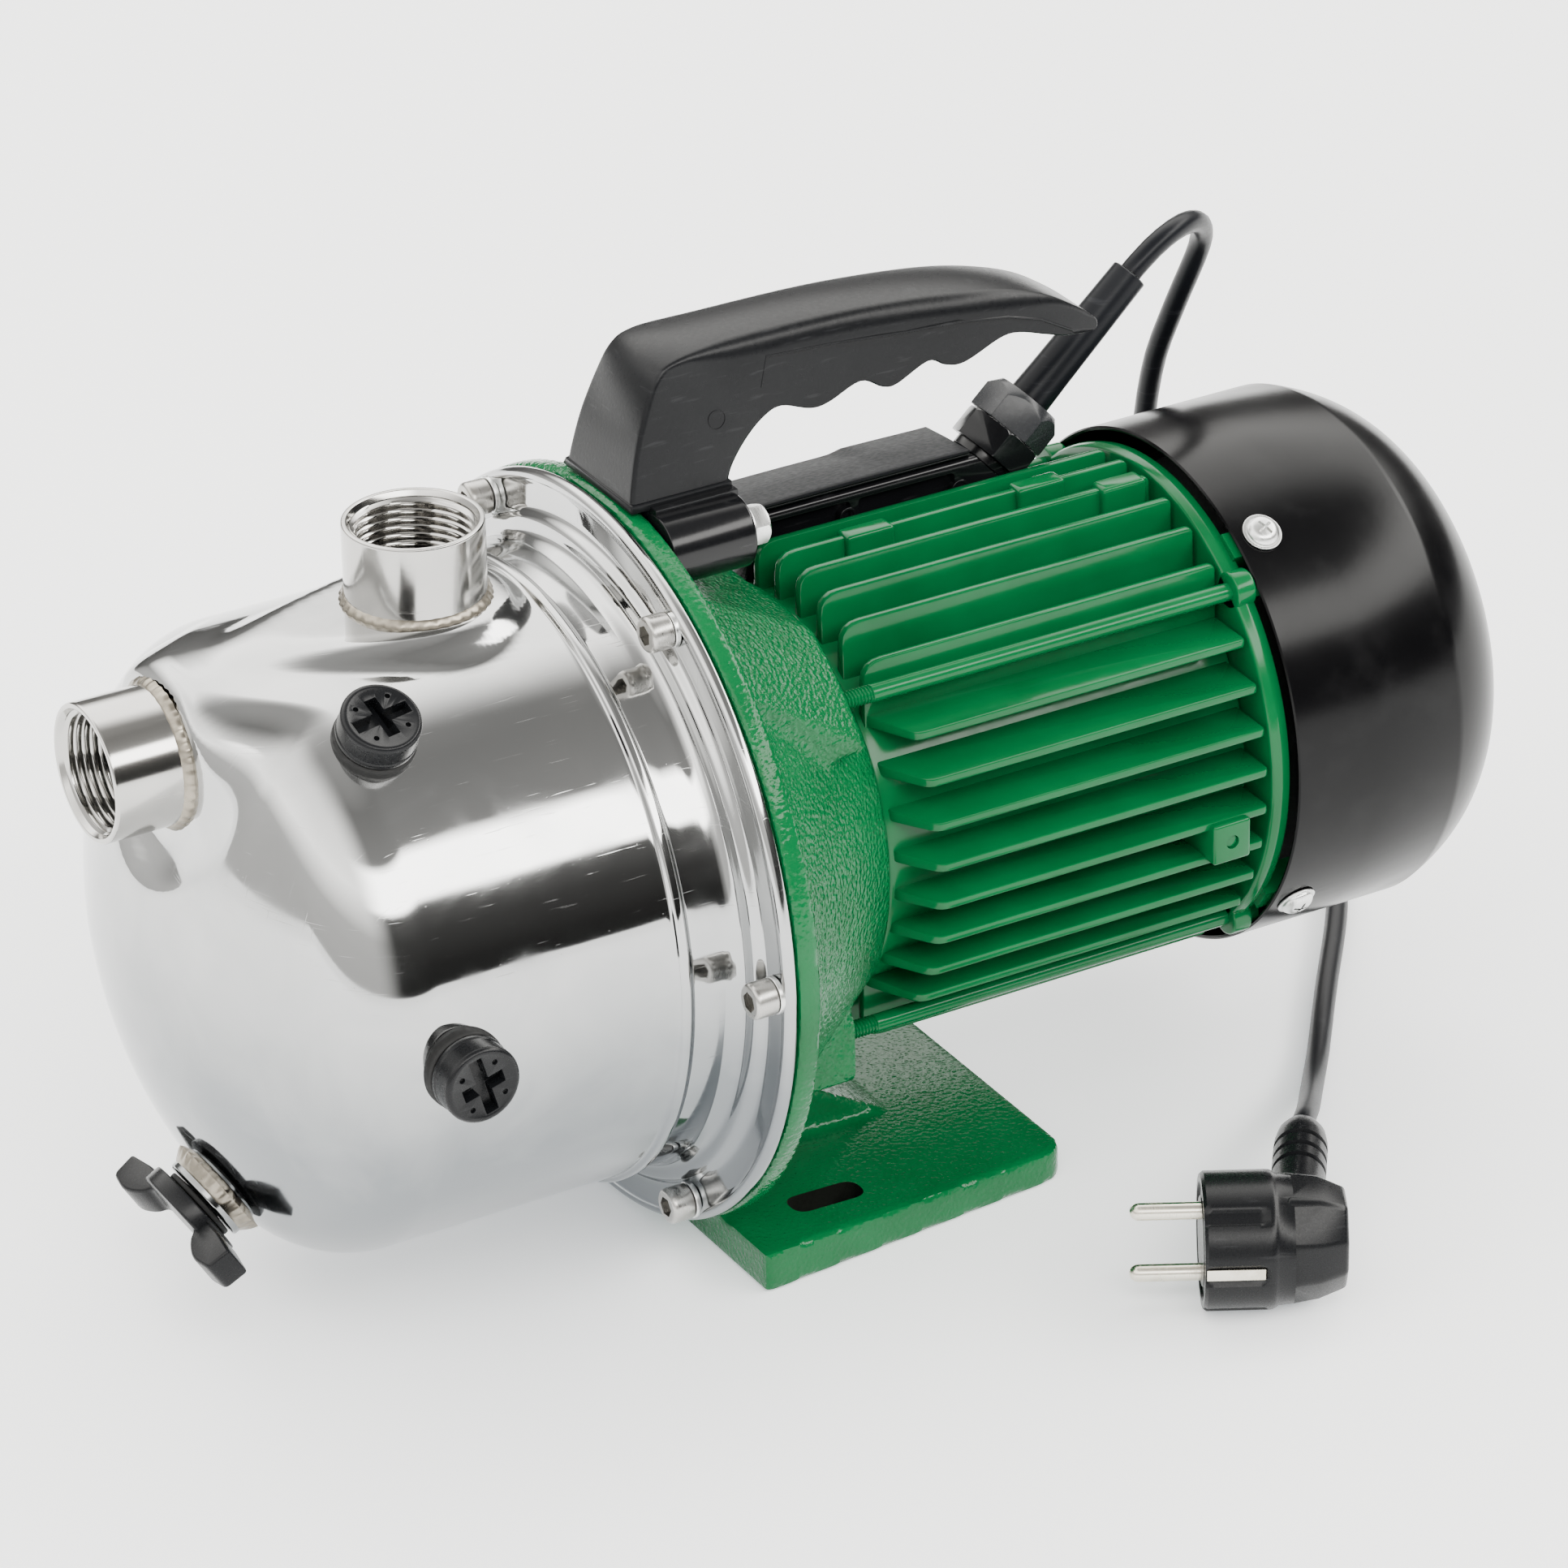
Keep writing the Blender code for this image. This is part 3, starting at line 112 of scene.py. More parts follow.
def make_camera():
    turn, tilt, roll = CAMERA_TURN, CAMERA_TILT, CAMERA_ROLL
    back = Vector((sin(turn) * cos(tilt), -cos(turn) * cos(tilt), sin(tilt)))
    level = Vector((cos(turn), sin(turn), 0.0))
    rise = back.cross(level)
    right = level * cos(roll) + rise * sin(roll)
    up = rise * cos(roll) - level * sin(roll)
    camera = bpy.data.cameras.new("camera")
    camera.lens = CAMERA_LENS
    camera.sensor_width = 36.0
    camera.clip_end = 100.0
    item = link("camera", camera)
    item.matrix_world = Matrix.Translation(CAMERA_SPOT) @ Matrix((right, up, back)).transposed().to_4x4()
    bpy.context.scene.camera = item


def soft_light(name, position, target, size, power):
    light = bpy.data.lights.new(name, "AREA")
    light.shape = "RECTANGLE"
    light.size = size[0]
    light.size_y = size[1]
    light.energy = power
    item = link(name, light)
    direction = Vector(position) - Vector(target)
    item.matrix_world = Matrix.Translation(position) @ direction.to_track_quat("Z", "Y").to_matrix().to_4x4()
    item.visible_glossy = False


def make_studio():
    """Pale floor, soft lamps for the shading, and a room of soft panels for the reflections."""
    soft_light("key", (-0.5, -1.3, 1.9), (0.0, 0.0, 0.1), (1.3, 0.9), 24.0)
    soft_light("fill", (1.6, -1.6, 1.2), (0.1, 0.0, 0.1), (0.9, 1.2), 10.0)
    soft_light("rim", (0.4, 1.8, 1.5), (0.0, 0.0, 0.15), (1.8, 0.7), 16.0)
    soft_light("front", (-2.0, -0.3, 0.9), (-0.1, 0.0, 0.1), (0.8, 1.0), 10.0)
    world = bpy.data.worlds.new("studio")
    world.use_nodes = True
    bpy.context.scene.world = world
    tree = world.node_tree
    background = tree.nodes["Background"]
    coords = tree.nodes.new("ShaderNodeTexCoord")
    split = tree.nodes.new("ShaderNodeSeparateXYZ")
    tree.links.new(coords.outputs["Generated"], split.inputs[0])

    def ramp(source, stops):
        item = tree.nodes.new("ShaderNodeValToRGB")
        tree.links.new(source, item.inputs[0])
        elements = item.color_ramp.elements
        while len(elements) < len(stops):
            elements.new(0.5)
        for element, (position, value) in zip(elements, stops):
            element.position = position
            element.color = (*(value * part for part in WARMTH), 1.0)
        return item.outputs[0]

    def blend(first, second, factor):
        item = tree.nodes.new("ShaderNodeMix")
        item.data_type = "RGBA"
        tree.links.new(factor, item.inputs[0])
        tree.links.new(first, item.inputs[6])
        tree.links.new(second, item.inputs[7])
        return item.outputs[2]

    def facing(axis, low, high):
        item = tree.nodes.new("ShaderNodeMapRange")
        item.interpolation_type = "SMOOTHSTEP"
        item.inputs["From Min"].default_value = low
        item.inputs["From Max"].default_value = high
        tree.links.new(split.outputs[axis], item.inputs["Value"])
        return item.outputs["Result"]

    front = ramp(split.outputs["Z"], ((0.0, 0.003), (0.10, 0.004), (0.30, 0.009), (0.44, 0.018), (0.475, 1.0),
                                      (0.66, 1.0), (0.71, 0.045), (0.90, 0.033), (1.0, 0.06)))
    back = ramp(split.outputs["Z"], ((0.0, 0.012), (0.30, 0.03), (0.52, 0.45), (0.9, 0.42), (1.0, 0.15)))
    left = ramp(split.outputs["Z"], ((0.0, 0.095), (0.30, 0.11), (0.55, 0.36), (1.0, 0.2)))
    room = blend(front, back, facing("Y", -0.05, 0.35))
    room = blend(room, left, facing("X", -0.15, -0.55))
    tree.links.new(room, background.inputs["Color"])
    background.inputs["Strength"].default_value = ROOM_STRENGTH
    mesh = bpy.data.meshes.new("floor")
    corners = [(x * FLOOR_HALF, y * FLOOR_HALF, 0.0) for x, y in ((-1, -1), (1, -1), (1, 1), (-1, 1))]
    mesh.from_pydata(corners, [], [(0, 1, 2, 3)])
    mesh.materials.append(plain_floor())
    link("floor", mesh)


# ---------------------------------------------------------------- materials
class Finish:
    """A node material on the Principled shader, with short names for the usual textures."""

    def __init__(self, name, colour, roughness, metallic=0.0):
        self.material = bpy.data.materials.new(name)
        self.material.use_nodes = True
        self.tree = self.material.node_tree
        self.shader = self.tree.nodes["Principled BSDF"]
        self.set("Base Color", (*colour, 1.0))
        self.set("Roughness", roughness)
        self.set("Metallic", metallic)
        self.material.diffuse_color = (*colour, 1.0)
        self.coords = self.tree.nodes.new("ShaderNodeTexCoord").outputs["Object"]
        self.height = None

    def set(self, socket, value):
        self.shader.inputs[socket].default_value = value

    def node(self, kind, **settings):
        item = self.tree.nodes.new(kind)
        for key, value in settings.items():
            setattr(item, key, value)
        return item

    def join(self, source, target):
        self.tree.links.new(source, target)

    def stretched(self, scale, turn=(0.0, 0.0, 0.0)):
        mapping = self.node("ShaderNodeMapping")
        mapping.inputs["Scale"].default_value = scale
        mapping.inputs["Rotation"].default_value = [radians(angle) for angle in turn]
        self.join(self.coords, mapping.inputs["Vector"])
        return mapping.outputs[0]

    def noise(self, scale, detail=3.0, coords=None, distortion=0.0):
        item = self.node("ShaderNodeTexNoise")
        item.inputs["Scale"].default_value = scale
        item.inputs["Detail"].default_value = detail
        item.inputs["Distortion"].default_value = distortion
        self.join(coords if coords else self.coords, item.inputs["Vector"])
        return item.outputs["Fac"]

    def cells(self, scale, feature="F1"):
        item = self.node("ShaderNodeTexVoronoi", feature=feature)
        item.inputs["Scale"].default_value = scale
        self.join(self.coords, item.inputs["Vector"])
        return item.outputs["Distance"]

    def span(self, source, low, high, to_low=0.0, to_high=1.0, smooth=False):
        item = self.node("ShaderNodeMapRange", interpolation_type="SMOOTHSTEP" if smooth else "LINEAR")
        for key, value in zip(("From Min", "From Max", "To Min", "To Max"), (low, high, to_low, to_high)):
            item.inputs[key].default_value = value
        self.join(source, item.inputs["Value"])
        return item.outputs["Result"]

    def sum(self, first, second, operation="ADD"):
        item = self.node("ShaderNodeMath", operation=operation)
        for socket, value in zip(item.inputs, (first, second)):
            if isinstance(value, float):
                socket.default_value = value
            else:
                self.join(value, socket)
        return item.outputs[0]

    def part_of(self, axis, low, high):
        """1 where the object coordinate passes from low to high, else 0."""
        split = self.node("ShaderNodeSeparateXYZ")
        self.join(self.coords, split.inputs[0])
        return self.span(split.outputs[axis], low, high, smooth=True)

    def colour_between(self, first, second, factor):
        item = self.node("ShaderNodeMix", data_type="RGBA")
        item.inputs[6].default_value = (*first, 1.0)
        item.inputs[7].default_value = (*second, 1.0)
        self.join(factor, item.inputs[0])
        self.join(item.outputs[2], self.shader.inputs["Base Color"])

    def roughness(self, source, low, high, to_low, to_high):
        self.join(self.span(source, low, high, to_low, to_high), self.shader.inputs["Roughness"])

    def bump(self, source, distance):
        item = self.node("ShaderNodeBump")
        item.inputs["Strength"].default_value = 1.0
        item.inputs["Distance"].default_value = distance * MM
        self.join(source, item.inputs["Height"])
        if self.height is not None:
            self.join(self.height, item.inputs["Normal"])
        self.height = item.outputs[0]
        self.join(self.height, self.shader.inputs["Normal"])


def plain_floor():
    """Matt pale floor with a faint glow that keeps it even."""
    look = Finish("pale_floor", (0.86, 0.86, 0.86), 0.7)
    look.colour_between((0.85, 0.85, 0.85), (0.88, 0.88, 0.88), look.noise(3.0))
    look.set("Emission Color", (0.90, 0.96, 1.0, 1.0))
    look.set("Emission Strength", 0.45)
    return look.material


def polished_steel(name, colour, waviness, rough):
    """Bright steel with hand-polish waves, fine scratches, faint smears and painted shade darkening its lower
    half.
    """
    look = Finish(name, colour, rough, 1.0)
    smears = look.noise(38.0, 4.0, distortion=0.6)
    specks = look.span(look.cells(420.0), 0.02, 0.09, 1.0, 0.0)
    lines = look.noise(1.0, 2.0, look.stretched((60.0, 60.0, 2600.0), (20.0, 8.0, 0.0)))
    cross = look.noise(1.0, 2.0, look.stretched((70.0, 2400.0, 70.0), (0.0, 12.0, 25.0)))
    scratches = look.span(look.sum(lines, cross, "MAXIMUM"), 0.70, 0.76)
    marks = look.sum(look.span(smears, 0.45, 0.75, 0.0, 0.5), look.sum(scratches, 0.6, "MULTIPLY"))
    look.roughness(marks, 0.0, 1.0, rough, rough + 0.22)
    # Smears and a painted shade on the lower half, standing in for the shadowed floor it reflects, both darken
    # the colour towards this tint.
    smear_and_shade_tint = (colour[0] * 0.47, colour[1] * 0.495, colour[2] * 0.52)
    smears_and_lower_shade = look.sum(look.span(smears, 0.3, 0.75, 0.0, 0.25), look.part_of("Z", 0.15, 0.05), "ADD")
    look.colour_between(colour, smear_and_shade_tint, smears_and_lower_shade)
    look.bump(look.noise(24.0, 1.0), waviness)
    look.bump(look.sum(scratches, specks, "MAXIMUM"), -0.004)
    return look.material


def turned_steel(name, colour, rough):
    """Machined or plated steel with fine tool marks and a little grime."""
    look = Finish(name, colour, rough, 1.0)
    grain = look.noise(1.0, 3.0, look.stretched((3000.0, 260.0, 260.0)))
    grime = look.noise(160.0, 4.0)
    look.roughness(look.sum(grain, grime), 0.6, 1.4, rough * 0.8, rough + 0.18)
    dark = (colour[0] * 0.72, colour[1] * 0.70, colour[2] * 0.66)
    look.colour_between(colour, dark, look.span(grime, 0.52, 0.78))
    look.bump(grain, 0.006)
    return look.material


def enamel(name, colour, hammered, peel=0.02):
    """Green enamel; cast faces between the flange and the motor carry a coarse hammered skin."""
    look = Finish(name, colour, 0.2, 0.0)
    look.set("Specular IOR Level", 0.24)
    patches = look.noise(45.0, 3.0)
    deep = (colour[0] * 0.72, colour[1] * 0.80, colour[2] * 0.76)
    look.colour_between(colour, deep, look.span(patches, 0.35, 0.72))
    look.roughness(look.noise(260.0, 3.0), 0.3, 0.7, 0.11, 0.20)
    look.bump(look.noise(330.0, 2.0), peel)
    if hammered > 0.0:
        blobs = look.span(look.cells(820.0, "SMOOTH_F1"), 0.0, 0.75, 1.0, 0.0)
        rough_skin = look.sum(blobs, look.noise(900.0, 2.0), "ADD")
        mask = look.part_of("X", (FLANGE_X + 8.5) * MM, (FLANGE_X + 13.0) * MM)
        mask = look.sum(mask, look.part_of("Z", 0.024, 0.034), "MULTIPLY")
        mask = look.sum(mask, 0.35, "MAXIMUM")
        look.bump(look.sum(rough_skin, mask, "MULTIPLY"), hammered)
    return look.material


def moulded(name, colour, rough, grain, scale=900.0, gloss=0.3):
    """Moulded plastic or rubber with a fine grain, scuffs and slightly uneven colour."""
    look = Finish(name, colour, rough, 0.0)
    look.set("Specular IOR Level", gloss)
    fine = look.noise(scale, 3.0)
    streaks = look.noise(1.0, 3.0, look.stretched((90.0, 90.0, 700.0), (15.0, 40.0, 0.0)))
    patches = look.span(look.noise(30.0), 0.4, 0.9, 0.0, 0.35)
    pale = tuple(min(1.0, channel * 1.5 + 0.006) for channel in colour)
    look.colour_between(colour, pale, look.sum(look.span(streaks, 0.62, 0.72), patches, "MAXIMUM"))
    look.roughness(fine, 0.3, 0.7, rough * 0.9, rough * 1.12)
    look.bump(fine, grain)
    return look.material


def painted_sheet(name, colour, rough):
    """Black paint on sheet steel: smooth, with a soft sheen and a trace of dust."""
    look = Finish(name, colour, rough, 0.0)
    look.set("Specular IOR Level", 0.15)
    dust = look.noise(70.0, 5.0)
    look.colour_between(colour, tuple(channel + 0.004 for channel in colour), look.span(dust, 0.5, 0.8))
    look.roughness(dust, 0.3, 0.7, rough * 0.92, rough * 1.15)
    look.bump(look.noise(420.0, 2.0), 0.008)
    return look.material


def simple_metal(name, colour, rough):
    """Bare metal with a coarse, slightly stained surface."""
    look = Finish(name, colour, rough, 1.0)
    grain = look.noise(300.0, 4.0)
    look.colour_between(colour, tuple(channel * 0.75 for channel in colour), look.span(grain, 0.4, 0.7))
    look.roughness(grain, 0.3, 0.7, rough, rough + 0.15)
    look.bump(grain, 0.01)
    return look.material


make_camera()
make_studio()

BODY_STEEL = polished_steel("polished_stainless", (0.50, 0.503, 0.50), 0.35, 0.05)
FITTING_STEEL = polished_steel("fitting_stainless", (0.50, 0.49, 0.47), 0.05, 0.12)
SCREW_STEEL = turned_steel("screw_steel", (0.44, 0.43, 0.41), 0.24)
WELD = simple_metal("weld_bead", (0.30, 0.27, 0.22), 0.26)
ZINC = turned_steel("zinc_plate", (0.78, 0.79, 0.78), 0.24)
NICKEL = turned_steel("nickel_plate", (0.76, 0.72, 0.62), 0.16)
BARE_STEEL = turned_steel("bare_steel", (0.50, 0.50, 0.51), 0.32)
GREEN = enamel("green_enamel", (0.0005, 0.092, 0.026), 0.0)
GREEN_CAST = enamel("green_cast_enamel", (0.0005, 0.092, 0.026), 0.36)
# Near-black painted shade for the walls of the foot slots.
SLOT_SHADE_BLACK = simple_metal("slot_painted_shade", (0.02, 0.022, 0.018), 0.65)
HANDLE_BLACK = moulded("handle_plastic", (0.0035, 0.0038, 0.0045), 0.30, 0.03, 900.0, 0.17)
LID_BLACK = moulded("lid_plastic", (0.005, 0.0055, 0.0065), 0.5, 0.05, 700.0, 0.09)
BOX_BLACK = moulded("box_plastic", (0.003, 0.0032, 0.0038), 0.18, 0.006)
PLUG_BLACK = moulded("plug_plastic", (0.0035, 0.0038, 0.0045), 0.28, 0.012, 1400.0, 0.2)
LEAD_BLACK = moulded("lead_plastic", (0.004, 0.0045, 0.006), 0.32, 0.008, 1800.0, 0.13)
RUBBER = moulded("black_rubber", (0.005, 0.005, 0.005), 0.6, 0.02)
GREY = moulded("grey_plastic", (0.16, 0.165, 0.17), 0.5, 0.02)
FAN_BLACK = moulded("fan_plastic", (0.018, 0.018, 0.019), 0.5, 0.02)
COVER_BLACK = painted_sheet("cover_paint", (0.0015, 0.0015, 0.0018), 0.2)
COPPER = simple_metal("copper_winding", (0.62, 0.24, 0.10), 0.35)
CERAMIC = moulded("white_ceramic", (0.72, 0.70, 0.64), 0.35, 0.01)
GLAND_GREY = moulded("gland_plastic", (0.016, 0.017, 0.019), 0.26, 0.02)
STEEL_SHAFT = turned_steel("shaft_steel", (0.55, 0.55, 0.55), 0.2)
LAMINATED = turned_steel("laminations", (0.20, 0.20, 0.21), 0.45)
NOZZLE_BRASS = simple_metal("nozzle_brass", (0.62, 0.42, 0.16), 0.3)
HYDRAULIC_BLACK = moulded("hydraulic_plastic", (0.05, 0.05, 0.052), 0.45, 0.03)


# ---------------------------------------------------------------- shape helpers
SHARP = 38.0
CAPPED = (True, True)


class Shape:
    """Collects surfaces given in millimetres and makes one object of them."""

    def __init__(self):
        self.mesh = bmesh.new()

    def skin(self, rings, slot=0, closed=True, caps=(False, False)):
        """Surface through rings of points in metres; a ring of one point is a pole."""
        rows = [[self.mesh.verts.new(point) for point in ring] for ring in rings]
        for first, second in zip(rows, rows[1:]):
            count = max(len(first), len(second))
            if count == 1:
                continue
            for index in range(count if closed else count - 1):
                after = (index + 1) % count
                if len(first) == 1:
                    corners = (first[0], second[after], second[index])
                elif len(second) == 1:
                    corners = (first[index], first[after], second[0])
                else:
                    corners = (first[index], first[after], second[after], second[index])
                self.mesh.faces.new(corners).material_index = slot
        if caps[0]:
            self.mesh.faces.new(list(reversed(rows[0]))).material_index = slot
        if caps[1]:
            self.mesh.faces.new(rows[-1]).material_index = slot
        return rows

    def lathe(self, outline, matrix=SHAFT, segments=96, slot=0, closed=False, wobble=None):
        """Turned surface of (along, radius) points about the matrix's local z axis."""
        points = list(outline) + ([outline[0]] if closed else [])
        rings = []
        for along, radius in points:
            if radius <= 0.0:
                rings.append([inside(matrix, 0.0, 0.0, along)])
                continue
            ring = []
            for index in range(segments):
                angle = 2.0 * pi * index / segments
                r, a = (radius, along) if wobble is None else wobble(radius, along, angle)
                ring.append(inside(matrix, r * cos(angle), r * sin(angle), a))
            rings.append(ring)
        return self.skin(rings, slot)

    def prism(self, outline, low, high, matrix):
        """Closed outline in the matrix's local x-y plane between two heights."""
        rings = [[inside(matrix, x, y, z) for x, y in outline] for z in (low, high)]
        return self.skin(rings, caps=CAPPED)

    def box(self, low, high, matrix=PLAIN):
        outline = [(low[0], low[1]), (high[0], low[1]), (high[0], high[1]), (low[0], high[1])]
        return self.prism(outline, low[2], high[2], matrix)

    def make(self, name, *materials, sharp=SHARP):
        bmesh.ops.recalc_face_normals(self.mesh, faces=self.mesh.faces)
        mesh = bpy.data.meshes.new(name)
        self.mesh.to_mesh(mesh)
        self.mesh.free()
        for material in materials:
            mesh.materials.append(material)
        return smooth(link(name, mesh), sharp)


def smooth(item, sharp=SHARP):
    item.data.shade_smooth()
    item.data.set_sharp_from_angle(angle=radians(sharp))
    return item


def bake(item, sharp=SHARP):
    """Applies the modifiers of an object to its mesh."""
    bpy.context.view_layer.update()
    mesh = bpy.data.meshes.new_from_object(item.evaluated_get(bpy.context.evaluated_depsgraph_get()))
    item.modifiers.clear()
    item.data = mesh
    return smooth(item, sharp)


def boolean(item, *others, operation="DIFFERENCE"):
    for other in others:
        step = item.modifiers.new("join", "BOOLEAN")
        step.operation = operation
        step.solver = "EXACT"
        step.object = other
    bake(item)
    for other in others:
        bpy.data.objects.remove(other, do_unlink=True)
    return item


def bevel(item, width, segments=3, angle=30.0):
    step = item.modifiers.new("bevel", "BEVEL")
    step.width = width * MM
    step.segments = segments
    step.limit_method = "ANGLE"
    step.angle_limit = radians(angle)
    return bake(item)


def merged(name, items):
    """One object of several objects' meshes."""
    joined = bmesh.new()
    for item in items:
        joined.from_mesh(item.data)
        bpy.data.objects.remove(item, do_unlink=True)
    mesh = bpy.data.meshes.new(name)
    joined.to_mesh(mesh)
    joined.free()
    return link(name, mesh)


def bend(start, middle, end, steps):
    """Points of a curve between two ends that is pulled towards a middle point."""
    points = []
    for step in range(steps + 1):
        t = step / steps
        points.append(tuple(start * (1.0 - t) ** 2 + middle * 2.0 * t * (1.0 - t) + end * t * t))
    return points


def rounded(outline, closed=False, steps=4):
    """Outline whose corners (a, b, size) are rounded by their size."""
    result = []
    count = len(outline)
    for index, corner in enumerate(outline):
        size = corner[2] if len(corner) > 2 else 0.0
        point = Vector(corner[:2])
        if size <= 0.0 or (not closed and index in (0, count - 1)):
            result.append(tuple(point))
            continue
        before = Vector(outline[index - 1][:2]) - point
        after = Vector(outline[(index + 1) % count][:2]) - point
        start = point + before.normalized() * min(size, 0.48 * before.length)
        end = point + after.normalized() * min(size, 0.48 * after.length)
        result += bend(start, point, end, steps)
    return result


def regular(count, radius):
    """Corners of a regular polygon."""
    turns = [2.0 * pi * index / count for index in range(count)]
    return [(radius * cos(turn), radius * sin(turn)) for turn in turns]


def attach(item, body=PUMP):
    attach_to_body(item, body)
    return item


def show(item, node, body=PUMP):
    """The piece stands for a node of the frame."""
    attach(item, body)
    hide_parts(node)
    return item


def thread_rings(matrix, start, end, radius, depth, pitch, segments, fade=1.5):
    """Rings of a helical thread of the given crest radius and depth; a negative depth cuts outwards."""
    rings = []
    count = ceil(abs(end - start) / (pitch / 8.0))
    for row in range(count + 1):
        along = start + (end - start) * row / count
        hold = ease(min(abs(along - start), abs(end - along)), 0.0, fade)
        ring = []
        for index in range(segments):
            angle = 2.0 * pi * index / segments
            wave = 0.5 - 0.5 * cos(2.0 * pi * (along / pitch - index / segments))
            r = radius - depth * wave * hold
            ring.append(inside(matrix, r * cos(angle), r * sin(angle), along))
        rings.append(ring)
    return rings


def turned(name, outline, matrix, segments, *materials, closed=False, sharp=SHARP):
    """Object turned from one outline."""
    shape = Shape()
    shape.lathe(outline, matrix, segments, closed=closed)
    return shape.make(name, *materials, sharp=sharp)


def rod_tool(name, radius, low, high, matrix, segments=40):
    return turned(name, [(low, 0.0), (low, radius), (high, radius), (high, 0.0)], matrix, segments)


def box_tool(name, low, high, matrix=PLAIN):
    shape = Shape()
    shape.box(low, high, matrix)
    return shape.make(name)


def smooth_points(points, before, after, per_span):
    """Catmull-Rom curve through points, led in and out by one extra point at each end."""
    guide = [before] + points + [after]
    result = []
    for index in range(1, len(guide) - 2):
        p0, p1, p2, p3 = guide[index - 1:index + 3]
        for step in range(per_span):
            t = step / per_span
            result.append(0.5 * (2.0 * p1 + (p2 - p0) * t + (2.0 * p0 - 5.0 * p1 + 4.0 * p2 - p3) * t * t
                                 + (3.0 * p1 - p0 - 3.0 * p2 + p3) * t * t * t))
    result.append(guide[-2])
    return result


# ---------------------------------------------------------------- mains lead and plug
GLAND_BASE = (136.4, 26.0, 70.3)
GLAND_AXIS = Vector((cos(radians(42.4)), 0.0, sin(radians(42.4))))
SLEEVE_END = 63.2
PLUG_FACE = Vector((102.6, -136.3, -87.0))
PLUG_PINS = Vector((cos(radians(151.0)), sin(radians(151.0)), 0.0))
PLUG_LEAD = Vector((cos(radians(54.0)), sin(radians(54.0)), 0.0))
PLUG_ELBOW = PLUG_FACE - PLUG_PINS * 24.7
PIN_LENGTH, PIN_R, PIN_SPREAD = 19.0, 2.4, 19.0
LEAD_DIAMETER = 6.4
FLOOR = -102.5               # middle of the lead where it lies on the ground
ROUTE = [
    (191.0, 27.0, 118.2), (199.6, 29.8, 120.4), (207.8, 34.1, 119.4), (214.4, 39.2, 115.3),
    (218.5, 44.4, 108.8), (219.5, 48.9, 100.7), (218.6, 54.5, 88.9), (217.8, 60.0, 77.1),
    (217.6, 65.9, 64.5), (218.9, 72.2, 49.0), (221.3, 78.4, 31.0), (224.7, 83.3, 11.5),
    (229.2, 86.4, -8.5), (234.7, 88.0, -28.5), (241.2, 88.0, -48.0), (248.7, 85.8, -66.5),
    (256.2, 80.8, -82.3), (262.5, 72.8, -93.8), (266.0, 62.0, -100.3), (266.0, 50.0, FLOOR),
    (262.3, 38.0, FLOOR), (255.8, 26.0, FLOOR), (247.0, 13.5, FLOOR), (237.0, 0.5, FLOOR),
    (225.5, -14.0, FLOOR), (212.8, -30.5, FLOOR), (200.3, -47.0, -102.2), (189.0, -61.5, -100.3),
    (178.8, -75.0, -96.3), (169.2, -88.0, -91.2),
]


def lead_points():
    start = Vector(GLAND_BASE) + GLAND_AXIS * (SLEEVE_END + 0.3)
    end = PLUG_ELBOW + PLUG_LEAD * 58.5
    route = [start] + [Vector(point) for point in ROUTE] + [end]
    inner = smooth_points(route, start - GLAND_AXIS * 9.0, end - PLUG_LEAD * 16.0, 2)
    return [start, start + GLAND_AXIS * 1.5] + inner[1:-1] + [end + PLUG_LEAD * 1.5, end]


def make_lead():
    points = lead_points()
    curve = bpy.data.curves.new("mains_lead", "CURVE")
    curve.dimensions = "3D"
    curve.bevel_depth = 0.5 * LEAD_DIAMETER * MM
    curve.bevel_resolution = 6
    curve.use_fill_caps = True
    spline = curve.splines.new("POLY")
    spline.points.add(len(points) - 1)
    for target, point in zip(spline.points, points):
        target.co = (*at(*point), 1.0)
    spline.use_smooth = True
    curve.materials.append(LEAD_BLACK)
    item = link("mains_lead", curve)
    length = sum((b - a).length for a, b in zip(points, points[1:])) * MM
    show(item, "mains_cord")
    return item, length, at(*points[0])


